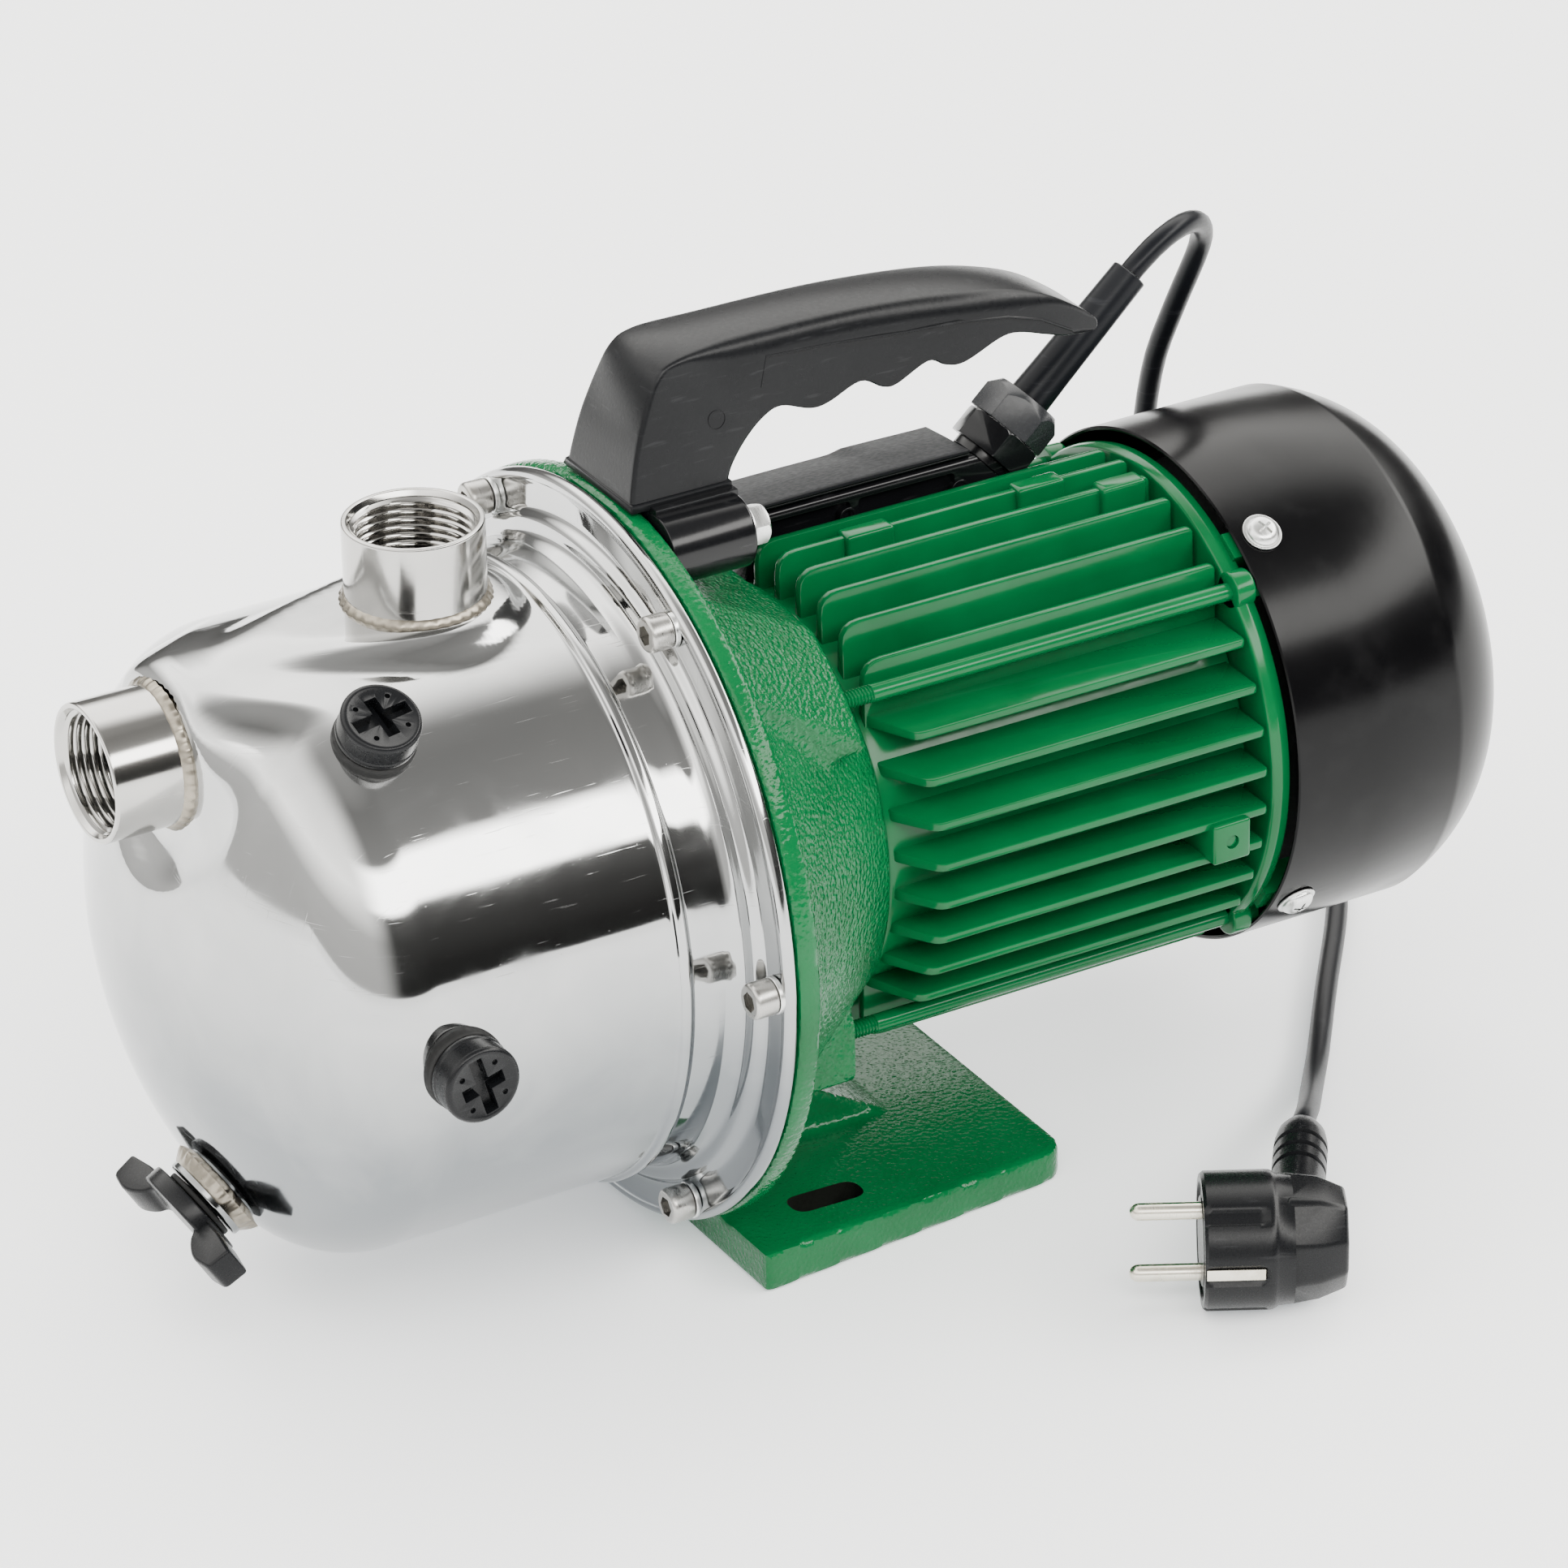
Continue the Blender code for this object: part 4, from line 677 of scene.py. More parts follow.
def make_plug():
    """Angled earthed plug: round grooved face part, faceted rear part, ribbed relief, earth clips."""
    face = place(PLUG_FACE, PLUG_PINS)
    shape = Shape()

    def grooved(radius, along, angle):
        if -16.5 < along < -0.5 and radius > 17.5:
            for centre in (0.5 * pi, 1.5 * pi):
                off = abs((angle - centre + pi) % (2.0 * pi) - pi)
                radius -= 1.5 * (1.0 - ease(off, 0.10, 0.16))
            for centre in (0.22 * pi, 0.78 * pi, 1.22 * pi, 1.78 * pi):
                off = abs((angle - centre + pi) % (2.0 * pi) - pi)
                radius -= 0.9 * (1.0 - ease(off, 0.09, 0.14))
        return radius, along

    outline = [(0.0, 0.0), (0.0, 12.0), (-0.7, 12.4), (-0.7, 15.6), (0.0, 16.0), (0.0, 17.9), (-0.9, 18.7)]
    outline += [(-0.9 - 1.5 * step, 18.7) for step in range(1, 12)]
    outline += [(-18.4, 18.6), (-19.2, 18.2), (-20.0, 17.6), (-24.0, 17.2), (-24.0, 0.0)]
    shape.lathe(outline, face, 144, wobble=grooved)
    item = shape.make("mains_plug_body", PLUG_BLACK, ZINC)
    rear = Shape()
    sections = ((-22.0, 15.0, 16.5, 16.5), (-31.0, 14.0, 15.0, 15.5), (-38.6, 11.0, 12.5, 12.5))
    rings = []
    for along, half, low, high in sections:
        corners = [(half, -low * 0.35), (half, high * 0.35), (half * 0.5, high), (-half * 0.5, high),
                   (-half, high * 0.35), (-half, -low * 0.35), (-half * 0.5, -low), (half * 0.5, -low)]
        rings.append([inside(face, y, x, along) for x, y in corners])
    rear.skin(rings, caps=CAPPED)
    block = bevel(rear.make("rear"), 1.3, 3)
    profile = [(0.0, 0.0), (0.0, 9.6), (10.0, 9.0), (18.0, 8.0), (24.0, 7.5)]
    for centre in (31.0, 37.0, 43.0):
        profile += [(centre, 7.45), (centre + 0.4, 6.3), (centre + 1.8, 6.3), (centre + 2.2, 7.4)]
    profile += [(48.5, 7.3), (52.5, 6.7), (55.8, 5.3), (57.6, 3.6), (58.1, 3.0), (58.1, 0.0)]
    boolean(item, block, turned("neck", profile, place(PLUG_ELBOW, PLUG_LEAD), 48), operation="UNION")
    show(item, "mains_plug")
    clips = Shape()
    for quarter in (90.0, -90.0):
        clips.box((17.3, -1.7, -16.0), (17.9, 1.7, -0.4), face @ turn_z(quarter))
    pieces = [item, attach(bevel(clips.make("earth_clips", NICKEL), 0.25, 2))]
    tip = [(PIN_LENGTH - PIN_R + PIN_R * sin(radians(a)), PIN_R * cos(radians(a))) for a in range(0, 90, 15)]
    outline = [(-7.0, 0.0), (-7.0, PIN_R)] + tip + [(PIN_LENGTH, 0.0)]
    for number, side in ((1, 1.0), (2, -1.0)):
        spot = place(PLUG_FACE + UP * side * 0.5 * PIN_SPREAD, PLUG_PINS)
        pin = turned("pin_%d" % number, outline, spot, 32, NICKEL)
        pieces.append(show(pin, "plug_pin_%d" % number))
    return pieces


LEAD, LEAD_LENGTH, LEAD_EXIT = make_lead()
make_plug()


# ---------------------------------------------------------------- pump body
BODY_R = 86.0
CROWN_R, CROWN_CENTRE = 134.5, -4.93        # dome, and where its centre lies on the shaft
KNUCKLE_R, KNUCKLE_CENTRE = 29.2, -93.6     # corner between the dome and the cylinder
SUCTION_H = 63.1
DISCHARGE_S = -52.9
SEAT_S = -3.4                               # flange face under the screws
PIPE_PITCH = 2.309                          # G1 thread, 11 to the inch
PLUG_PITCH = 1.337                          # G1/4 thread, 19 to the inch
SUCTION = ((0.0, 0.0, SUCTION_H), -ALONG)
DISCHARGE = ((DISCHARGE_S, 0.0, 0.0), UP)
FILL = ((-88.4, 0.0, 0.0), around(30.0))
SIDE_FILL = ((-88.6, 0.0, 0.0), around(90.0))
DRAIN = ((-119.8, 0.0, -69.5), Vector((-cos(radians(31.5)), 0.0, -sin(radians(31.5)))))


def body_profile():
    """(s, r) from the apex of the dome to the back of the rolled rim."""
    meet = degrees(acos((CROWN_CENTRE - KNUCKLE_CENTRE) / (CROWN_R - KNUCKLE_R)))
    points = []
    for step in range(41):
        angle = radians(meet * step / 40.0)
        points.append((CROWN_CENTRE - CROWN_R * cos(angle), CROWN_R * sin(angle)))
    for step in range(1, 33):
        angle = radians(180.0 - meet - (90.0 - meet) * step / 32.0)
        points.append((KNUCKLE_CENTRE + KNUCKLE_R * cos(angle), BODY_R - KNUCKLE_R * (1.0 - sin(angle))))
    points += [(KNUCKLE_CENTRE + 1.72 * step, BODY_R) for step in range(1, 39)]
    bead = [(-27.0, BODY_R), (-25.6, BODY_R, 1.0), (-24.9, 87.5, 0.9), (-22.4, 87.5, 0.9),
            (-21.7, BODY_R, 1.0)]
    step = [(-18.0, BODY_R), (-13.5, BODY_R), (-10.6, BODY_R, 3.0), (-7.2, 87.6, 1.6), (-6.6, 90.4, 1.0),
            (-6.1, 91.8, 1.0), (SEAT_S - 0.4, 93.4, 1.2), (SEAT_S, 95.5), (SEAT_S, 100.6, 1.0),
            (SEAT_S - 0.9, 102.2, 1.0), (SEAT_S + 0.2, 104.0, 1.6), (-1.2, 104.2, 1.0), (-0.35, 103.2, 0.8),
            (-0.35, 99.0)]
    return points + rounded(bead + step)


def pressed(s, r, angle):
    """The dome and cylinder with the seats for the two ports pressed into them."""
    y = -r * sin(angle)
    h = r * cos(angle)
    off = hypot(y, h - SUCTION_H)
    hold = (1.0 - ease(off, 22.5, 37.0)) * (1.0 - ease(s, KNUCKLE_CENTRE, -58.0))
    lip = min(max(r - 78.0, 0.0), 8.0)
    seat = -128.3 + 8.0 - sqrt(64.0 - lip * lip)
    s_new = s + (seat - s) * hold
    if h > 0.0 and s > -95.0:
        rise = 1.0 - ease(hypot(s - DISCHARGE_S, y), 20.6, 30.5)
        h += (88.3 - h) * rise
    return s_new, y, h


def near_axis(point, base, axis, reach):
    """Distance of a world point from an axis, or a large number on its far side."""
    off = point - at(*base)
    along = off.dot(axis)
    return (off - axis * along).length / MM if along > reach * MM else 1000.0


def make_pump_body():
    shape = Shape()
    segments = 288
    rings = []
    for s, r in body_profile():
        if r < 0.01:
            rings.append([at(*pressed(s, 0.0, 0.0))])
        else:
            rings.append([at(*pressed(s, r, 2.0 * pi * index / segments)) for index in range(segments)])
    shape.skin(rings)
    holes = ((*SUCTION, 60.0, 17.3), (*DISCHARGE, 40.0, 17.3), (*FILL, 40.0, 8.4), (*SIDE_FILL, 40.0, 8.4),
             (*DRAIN, -20.0, 10.4))
    doomed = []
    for face in shape.mesh.faces:
        centre = face.calc_center_median()
        if any(near_axis(centre, base, axis, reach) < radius for base, axis, reach, radius in holes):
            doomed.append(face)
    bmesh.ops.delete(shape.mesh, geom=doomed, context="FACES")
    for base, axis in (FILL, SIDE_FILL):
        boss = rounded([(80.0, 10.3), (86.6, 10.3, 0.4), (86.6, 6.3, 0.3), (77.0, 6.3), (77.0, 0.0)])
        shape.lathe(boss, place(base, axis), 40)
    for (base, axis), top, low in ((SUCTION, 134.0, 96.0), (DISCHARGE, 90.0, 52.0)):
        shape.lathe([(top, 14.6), (top, 15.1), (low, 15.1), (low, 0.0)], place(base, axis), 48)
    show(shape.make("pump_shell", BODY_STEEL, sharp=50.0), "pump_body")


def make_port(name, base, axis, start, end, node):
    """Screwed socket with an inside thread, a bevelled mouth and an uneven weld bead at its foot."""
    matrix = place(base, axis)
    shape = Shape()
    outside = rounded([(start - 0.8, 18.7), (end - 0.5, 18.8, 0.4), (end, 18.5, 0.3), (end, 17.35, 0.25),
                       (end - 1.5, 16.55)])
    shape.lathe(outside, matrix, 96)
    shape.skin(thread_rings(matrix, end - 1.5, start - 4.0, 16.55, 1.35, PIPE_PITCH, 96, fade=0.8))

    def ripple(radius, along, angle):
        swell = 0.35 * noise.noise(Vector((cos(angle) * 3.4, sin(angle) * 3.4, base[2] * 0.1)))
        swell += 0.22 * sin(angle * 38.0)
        grow = ease(radius, 18.7, 20.0)
        return radius + swell * grow, along + 0.25 * swell * (1.0 - grow)

    bead = rounded([(start + 1.9, 18.6), (start + 1.6, 19.1, 0.5), (start + 0.5, 20.0, 0.9),
                    (start - 0.9, 20.3)])
    shape.lathe(bead, matrix, 144, slot=1, wobble=ripple)
    show(shape.make(name, FITTING_STEEL, WELD), node)


def make_round_plug(name, base, axis, cross_turn, node):
    """Round plug with a cross recess and four dimples, over its rubber sleeve."""
    matrix = place(base, axis) @ turn_z(cross_turn)
    head = 88.6
    top = head + 8.4
    outline = [(head - 9.0, 0.0), (head - 9.0, 5.2, 0.4), (head - 8.2, 5.9, 0.4)]
    outline += [(head - 7.6, 5.9), (head, 5.9, 0.2), (head, 10.7, 0.5), (head + 1.6, 10.8, 0.2),
                (head + 2.0, 10.55, 0.2), (top - 0.9, 10.7, 0.5), (top, 9.9, 0.6), (top, 9.0),
                (top - 0.15, 8.8), (top - 0.15, 0.0)]
    item = turned(name, rounded(outline), matrix, 96, PLUG_BLACK)
    tools = [box_tool("long_arm", (-8.25, -1.8, top - 4.2), (8.25, 1.8, top + 2.0), matrix),
             box_tool("short_arm", (-1.8, -6.0, top - 4.2), (1.8, 6.0, top + 2.0), matrix)]
    for x in (-4.9, 4.9):
        for y in (-4.9, 4.9):
            spot = matrix @ Matrix.Translation(Vector((x, y, 0.0)) * MM)
            tools.append(rod_tool("dimple", 0.75, top - 1.2, top + 1.0, spot, 16))
    show(bevel(boolean(item, *tools), 0.22, 2, 50.0), node, node)
    seal = rounded([(86.9, 6.7, 0.3), (86.9, 10.6), (84.6, 10.6), (84.6, 11.1, 0.3), (87.6, 11.1, 0.5),
                    (88.2, 10.5, 0.4), (88.2, 6.7, 0.3)], closed=True)
    ring = turned(name + "_ring", seal, place(base, axis), 64, RUBBER, closed=True)
    show(ring, node + "_seal", node.replace("plug", "seal"))


def make_drain():
    """Low welded socket, its seal and the wing plug."""
    matrix = place(*DRAIN)
    socket = Shape()
    socket.lathe(rounded([(-9.0, 12.4), (4.4, 12.5, 0.3), (5.0, 12.0, 0.3), (5.0, 6.9, 0.3), (4.2, 6.4)]),
                 matrix, 80)
    socket.skin(thread_rings(matrix, 4.2, -9.0, 6.45, -0.6, PLUG_PITCH, 48, fade=0.5))

    def ripple(radius, along, angle):
        return radius + 0.3 * sin(angle * 29.0) * ease(radius, 12.5, 14.5), along

    bead = rounded([(3.2, 12.3), (2.4, 13.0, 0.8), (-0.5, 14.6, 1.5), (-5.0, 15.6)])
    socket.lathe(bead, matrix, 116, slot=1, wobble=ripple)
    show(socket.make("drain_fitting", FITTING_STEEL, WELD), "drain_socket")
    seal = rounded([(5.3, 6.7, 0.4), (5.3, 10.6, 0.5), (6.9, 10.6, 0.5), (6.9, 6.7, 0.4)], closed=True)
    ring = turned("drain_ring", seal, matrix, 64, RUBBER, closed=True)
    show(ring, "drain_plug_seal", "drain_seal")
    head = 7.2
    disc = rounded([(head - 9.0, 0.0), (head - 9.0, 5.9, 0.6), (head, 5.9, 0.3), (head, 14.6, 0.5),
                    (head + 5.0, 14.8, 0.8), (head + 5.0, 0.0)])
    item = turned("drain_wing_plug", disc, matrix, 96, PLUG_BLACK)
    wing = Shape()
    half = [(-29.0, head + 2.4, 1.0), (-28.2, head + 9.6, 1.6), (-20.5, head + 10.9, 3.0),
            (-14.4, head + 8.0, 3.0), (-12.6, head + 5.2, 2.0), (-8.0, head + 5.0)]
    mirrored = [(-corner[0], *corner[1:]) for corner in reversed(half)]
    outline = rounded(half + mirrored + [(20.0, head + 1.0, 1.0), (-20.0, head + 1.0, 1.0)], closed=True)
    wing.prism(outline, -5.0, 5.0, matrix @ ACROSS)
    boolean(item, bevel(wing.make("wings"), 0.9, 3), operation="UNION")
    show(item, "drain_plug", "drain_plug")


def make_flange_screws():
    """Six M6 socket screws, each on a split spring washer."""
    seat = -SEAT_S
    outline = rounded([(-7.0, 0.0), (-7.0, 2.9, 0.3), (seat + 1.9, 2.9), (seat + 1.9, 4.9, 0.4),
                       (seat + 7.6, 4.95, 0.7), (seat + 8.4, 4.2, 0.5), (seat + 8.4, 0.0)])
    key = [(seat + 4.6, 0.0), (seat + 5.4, 2.88), (seat + 12.0, 2.88), (seat + 12.0, 0.0)]
    section = rounded([(seat + 0.1, 3.2, 0.2), (seat + 0.1, 5.1, 0.3), (seat + 1.6, 5.1, 0.3),
                       (seat + 1.6, 3.2, 0.2)], closed=True)
    for index in range(6):
        way = around(29.0 + 60.0 * index)
        matrix = place((0.0, 98.0 * way.y, 98.0 * way.z), -ALONG)
        item = turned("socket_screw_%d" % (index + 1), outline, matrix, 64, SCREW_STEEL)
        boolean(item, turned("hex", key, matrix @ turn_z(17.0 * index), 6))
        show(item, "flange_screw_%d" % (index + 1))
        washer = Shape()
        rings = []
        for step in range(61):
            turn = radians(8.0 + 344.0 * step / 60.0 + 40.0 * index)
            lift = 0.35 * step / 60.0 - 0.17
            rings.append([inside(matrix, r * cos(turn), r * sin(turn), a + lift) for a, r in section])
        washer.skin(rings, caps=CAPPED)
        attach(washer.make("spring_washer_%d" % (index + 1), ZINC))


make_pump_body()
make_port("suction_socket", *SUCTION, 128.8, 149.5, "suction_port")
make_port("discharge_socket", *DISCHARGE, 88.5, 110.5, "discharge_port")
make_round_plug("fill_cap", *FILL, 98.0, "fill_plug")
make_round_plug("side_cap", *SIDE_FILL, 16.0, "side_plug")
make_drain()
make_flange_screws()


# ---------------------------------------------------------------- bracket
ROD_Y, ROD_H = 46.5, 50.0
HANDLE_BOLT_Y, HANDLE_BOLT_H = 21.0, 94.0
FOOT_SLOT_Y = 53.0


def rod_place(side, level):
    """Frame along one of the four tie rods."""
    return place((0.0, side * ROD_Y, level * ROD_H), ALONG)


def bolt_place(side):
    return place((0.0, side * HANDLE_BOLT_Y, HANDLE_BOLT_H), ALONG)


def cast(name, items, voxel, passes):
    """Closed shells run together and softened as a casting is."""
    result = merged(name, items)
    remesh = result.modifiers.new("cast", "REMESH")
    remesh.mode = "VOXEL"
    remesh.voxel_size = voxel * MM
    soften = result.modifiers.new("soften", "SMOOTH")
    soften.factor = 0.5
    soften.iterations = passes
    return bake(result, 60.0)


def rectangle(low, high, size, steps=4):
    """Outline of a rectangle with rounded corners."""
    corners = [(low[0], low[1]), (high[0], low[1]), (high[0], high[1]), (low[0], high[1])]
    return rounded([(*corner, size) for corner in corners], closed=True, steps=steps)


def bracket_shells():
    """Flange and bell, hood, two tie-rod lugs, gusset and foot, each a closed shell."""
    bell = rounded([(0.0, 0.0), (0.0, 104.5, 0.8), (6.5, 104.5, 1.0), (6.5, 93.2, 1.5), (9.0, 90.0, 1.5),
                    (52.4, 60.4, 2.0), (54.4, 59.2, 1.0), (54.4, 0.0)])
    items = [turned("bell", bell, SHAFT, 160)]
    cone = turned("hood_cone", [(5.0, 0.0), (5.0, 94.4), (46.0, 74.3), (46.0, 0.0)], SHAFT, 128)
    hood = Shape()
    rings = []
    for s, half, top in ((5.0, 62.0, 88.3), (46.0, 60.5, 66.3)):
        rings.append([at(s, -half, 41.0), at(s, half, 41.0), at(s, half, top), at(s, -half, top)])
    hood.skin(rings, caps=CAPPED)
    items.append(boolean(hood.make("hood"), cone, operation="INTERSECT"))
    for side in SIDES:
        lug = Shape()
        rings = []
        for s, half in ((5.0, 10.5), (45.0, 9.5)):
            outline = rectangle((side * ROD_Y - half, -60.5), (side * ROD_Y + half, -40.0), 3.0)
            rings.append([at(s, y, h) for y, h in outline])
        lug.skin(rings, caps=CAPPED)
        items.append(lug.make("lug"))
    gusset = Shape()
    gusset.prism([(5.0, -60.0), (30.0, -70.0), (76.0, -96.5), (76.0, -99.0), (5.0, -99.0)], -20.0, 20.0, SIDE)
    items.append(gusset.make("gusset"))
    foot = Shape()
    outline = rounded([(6.5, 72.5, 1.0), (107.0, 63.0, 8.0), (107.0, -63.0, 8.0), (6.5, -72.5, 1.0)],
                      closed=True, steps=6)
    low = [at(s, y, -105.9) for s, y in outline]
    high = [at(s, y, -94.0 - 0.0249 * (s - 6.5)) for s, y in outline]
    foot.skin([low, high], caps=CAPPED)
    items.append(foot.make("foot"))
    return items


def make_bracket():
    item = cast("bracket_casting", bracket_shells(), 1.3, 2)
    tools = [box_tool("weep", (14.0, -9.0, -86.0), (32.0, 9.0, -62.0))]
    for side in SIDES:
        slot = Shape()
        middle = side * FOOT_SLOT_Y
        slot.prism(rectangle((25.0, middle - 4.5), (47.0, middle + 4.5), 4.4, 8), -108.0, -90.0, PLAIN)
        tools.append(slot.make("slot"))
        tools.append(rod_tool("pocket", 10.9, 6.8, 44.0, bolt_place(side)))
        for level in SIDES:
            tools.append(rod_tool("rod_hole", 2.9, 38.0, 60.0, rod_place(side, level), 24))
    boolean(item, *tools)
    item.data.materials.clear()
    item.data.materials.append(GREEN_CAST)
    item.data.materials.append(SLOT_SHADE_BLACK)
    # The walls of the two foot slots take the near-black material: painted shade for the dark inside of the
    # slots.
    near, far = at(23.0, FOOT_SLOT_Y - 6.0, -105.5), at(49.0, FOOT_SLOT_Y + 6.0, -95.4)
    for face in item.data.polygons:
        x, y, z = face.center
        in_slot = near.x < x < far.x and near.y < abs(y) < far.y and near.z < z < far.z
        if in_slot and abs(face.normal.z) < 0.5:
            face.material_index = 1
    show(item, "bracket")


# ---------------------------------------------------------------- motor
HOUSING_R = 57.0
FIN_R = 70.0
FIN_PITCH = 11.0
FIN_END = 167.0
COVER_R = 73.5
COVER_END = 252.9
COVER_SCREW_S = 183.0
COVER_SCREW_ANGLES = (33.5, 125.5, 213.5, 305.5)


def fin(shape, outline, matrix, middle, root):
    """Plate of an outline in a matrix's local plane, thinning from its root line to its tip."""
    rows = shape.prism(outline, middle - 1.2, middle + 1.2, matrix)
    tip = max(abs(y) for _, y in outline)
    for row, side in zip(rows, (-1.0, 1.0)):
        for vertex, (_, y) in zip(row, outline):
            grow = 0.55 * (1.0 - (abs(y) - root) / (tip - root))
            vertex.co += matrix.to_3x3() @ Vector((0.0, 0.0, side * grow * MM))


def fin_limits(offset):
    """Outer edge and buried root of a fin at an offset from the shaft."""
    return sqrt(FIN_R ** 2 - offset ** 2), sqrt(HOUSING_R ** 2 - offset ** 2) - 2.0


def make_fins():
    """Level fins on the two sides, upright fins above and below."""
    fins = Shape()
    for level in (5.7, 17.0, 28.4, 39.6):
        reach, root = fin_limits(level)
        outline = rounded([(56.5, root), (56.8, root + 3.0, 1.5), (63.5, reach, 3.0), (FIN_END, reach, 1.6),
                           (FIN_END, root)])
        for sign in SIDES:
            for side in SIDES:
                fin(fins, [(s, side * y) for s, y in outline], PLAIN, sign * level, root)
    for first, count, side in ((-41.0, 6, 1.0), (-38.5, 8, -1.0)):
        for index in range(count):
            y = first + FIN_PITCH * index
            reach, root = fin_limits(y)
            outline = rounded([(56.5, root), (56.5, reach, 6.0), (FIN_END, reach, 1.8), (FIN_END, root)])
            fin(fins, [(s, side * h) for s, h in outline], SIDE, -y, root)
    return bevel(fins.make("fins"), 0.5, 2, 50.0)


def make_housing():
    """Core, fins, three small pads on the upper fins, the earth boss and the terminal box seat."""
    core = rounded([(54.8, 52.6), (54.8, HOUSING_R, 1.2), (168.0, HOUSING_R, 1.0), (168.0, 52.6)])
    pads = Shape()
    for y, start, end in ((3.0, 77.0, 92.0), (3.0, 131.0, 146.0), (-8.0, 151.0, 165.0)):
        top = fin_limits(y)[0] + 0.9
        outline = rounded([(start, 54.0), (start, top, 1.5), (end, top, 1.5), (end, 54.0)])
        pads.prism(outline, -y - 3.2, -y + 3.2, SIDE)
    pads.box((148.0, -72.0, -17.0), (160.0, -50.0, -5.0))
    pads.box((62.0, 20.0, 40.0), (128.0, 40.0, 54.4))
    earth = place((154.0, 0.0, -11.0), (0.0, -1.0, 0.0))
    lumps = bevel(pads.make("pads"), 1.0, 3, 50.0)
    boolean(lumps, rod_tool("earth_hole", 2.0, 62.0, 75.0, earth, 32))
    item = smooth(merged("motor_casting", (turned("housing_core", core, SHAFT, 144), make_fins(), lumps)))
    item.data.materials.clear()
    item.data.materials.append(GREEN)
    show(item, "motor_housing")
    screw = rounded([(69.5, 0.0), (69.5, 1.9), (71.2, 1.9, 0.3), (71.2, 0.0)])
    attach(turned("earth_screw", screw, earth, 32, GREEN))


def make_tie_rods():
    """Four long screws with a rolled thread at the bracket."""
    places = [rod_place(side, level) for level in (1.0, -1.0) for side in SIDES]
    rod = rounded([(56.0, 2.5), (56.8, 2.5, 0.2), (174.6, 2.5), (174.6, 3.8, 0.2), (177.6, 3.7, 0.4),
                   (177.9, 0.0)])
    for number, matrix in enumerate(places, 1):
        shape = Shape()
        shape.skin(thread_rings(matrix, 38.0, 56.0, 2.55, 0.5, 1.0, 36, fade=0.5))
        shape.lathe(rod, matrix, 36)
        show(shape.make("long_screw_%d" % number, GREEN), "tie_rod_%d" % number)


def make_rear_shield():
    """End casting with bosses for the tie rods and lugs for the cover screws."""
    shape = Shape()
    outline = rounded([(168.3, 22.0), (168.3, 69.4, 1.0), (171.0, FIN_R, 0.5), (174.3, 69.4, 0.8), (174.3, 62.0),
                       (172.6, 60.0), (172.6, 7.5), (170.4, 7.5), (170.4, 16.4), (162.0, 16.4), (162.0, 20.0),
                       (168.3, 24.0)])
    shape.lathe(outline, SHAFT, 144)
    boss = rounded([(168.3, 0.0), (168.3, 5.4, 0.8), (174.3, 5.4, 0.8), (174.3, 0.0)])
    for side in SIDES:
        for level in SIDES:
            shape.lathe(boss, rod_place(side, level), 36)
    for angle in COVER_SCREW_ANGLES:
        shape.box((173.0, -4.0, 62.5), (188.0, 4.0, 71.2), PLAIN @ Matrix.Rotation(radians(angle), 4, "X"))
    show(shape.make("rear_shield", GREEN), "rear_end_shield")


# ---------------------------------------------------------------- fan cover
def shoulder(inset):
    """Curve from the straight part of the cover to its end, at an inset from the outside."""
    return bend(Vector((226.7, COVER_R - inset)), Vector((COVER_END - 7.1 - inset, COVER_R - 6.3 - inset)),
                Vector((COVER_END - inset, 51.5 - inset)), 18)


def make_fan_cover():
    """Deep-drawn cover with a rolled edge, twelve slots in its end and four cross-headed screws."""
    outline = [(176.0, 72.2), (174.7, 72.4), (174.5, 73.0), (174.9, 73.5), (178.0, COVER_R), (200.0, COVER_R)]
    outline += shoulder(0.0) + [(COVER_END, 50.0), (COVER_END, 0.0)]
    outline += [(COVER_END - 1.2, 0.0), (COVER_END - 1.2, 50.0)] + list(reversed(shoulder(1.2)))
    outline += [(200.0, 72.3), (176.0, 72.2)]
    item = turned("fan_hood", outline, SHAFT, 192, COVER_BLACK, sharp=50.0)
    slots = Shape()
    slit = rectangle((-3.0, 18.0), (3.0, 46.0), 2.9, 6)
    for index in range(12):
        slots.prism(slit, 249.0, 256.0, PLAIN @ Matrix.Rotation(radians(30.0 * index), 4, "X") @ ACROSS)
    seats = [place((COVER_SCREW_S, 0.0, 0.0), around(angle)) for angle in COVER_SCREW_ANGLES]
    for seat in seats:
        slots.lathe([(70.0, 0.0), (70.0, 2.3), (76.0, 2.3), (76.0, 0.0)], seat, 24)
    show(boolean(item, slots.make("slots")), "fan_cover")
    outline = rounded([(64.0, 0.0), (64.0, 2.0), (73.6, 2.0), (73.6, 5.6, 0.2), (74.2, 5.6, 0.2), (74.2, 4.75),
                       (74.9, 4.7, 0.5), (76.4, 3.4, 1.2), (76.9, 0.0)])
    for index, seat in enumerate(seats):
        matrix = seat @ turn_z(25.0 + 50.0 * index)
        head = turned("cover_bolt_%d" % (index + 1), outline, matrix, 48, ZINC)
        boolean(head, box_tool("slot_a", (-2.4, -0.42, 75.2), (2.4, 0.42, 78.0), matrix),
                box_tool("slot_b", (-0.42, -2.4, 75.2), (0.42, 2.4, 78.0), matrix))
        show(head, "cover_screw_%d" % (index + 1))


make_bracket()
make_housing()
make_tie_rods()
make_rear_shield()
make_fan_cover()


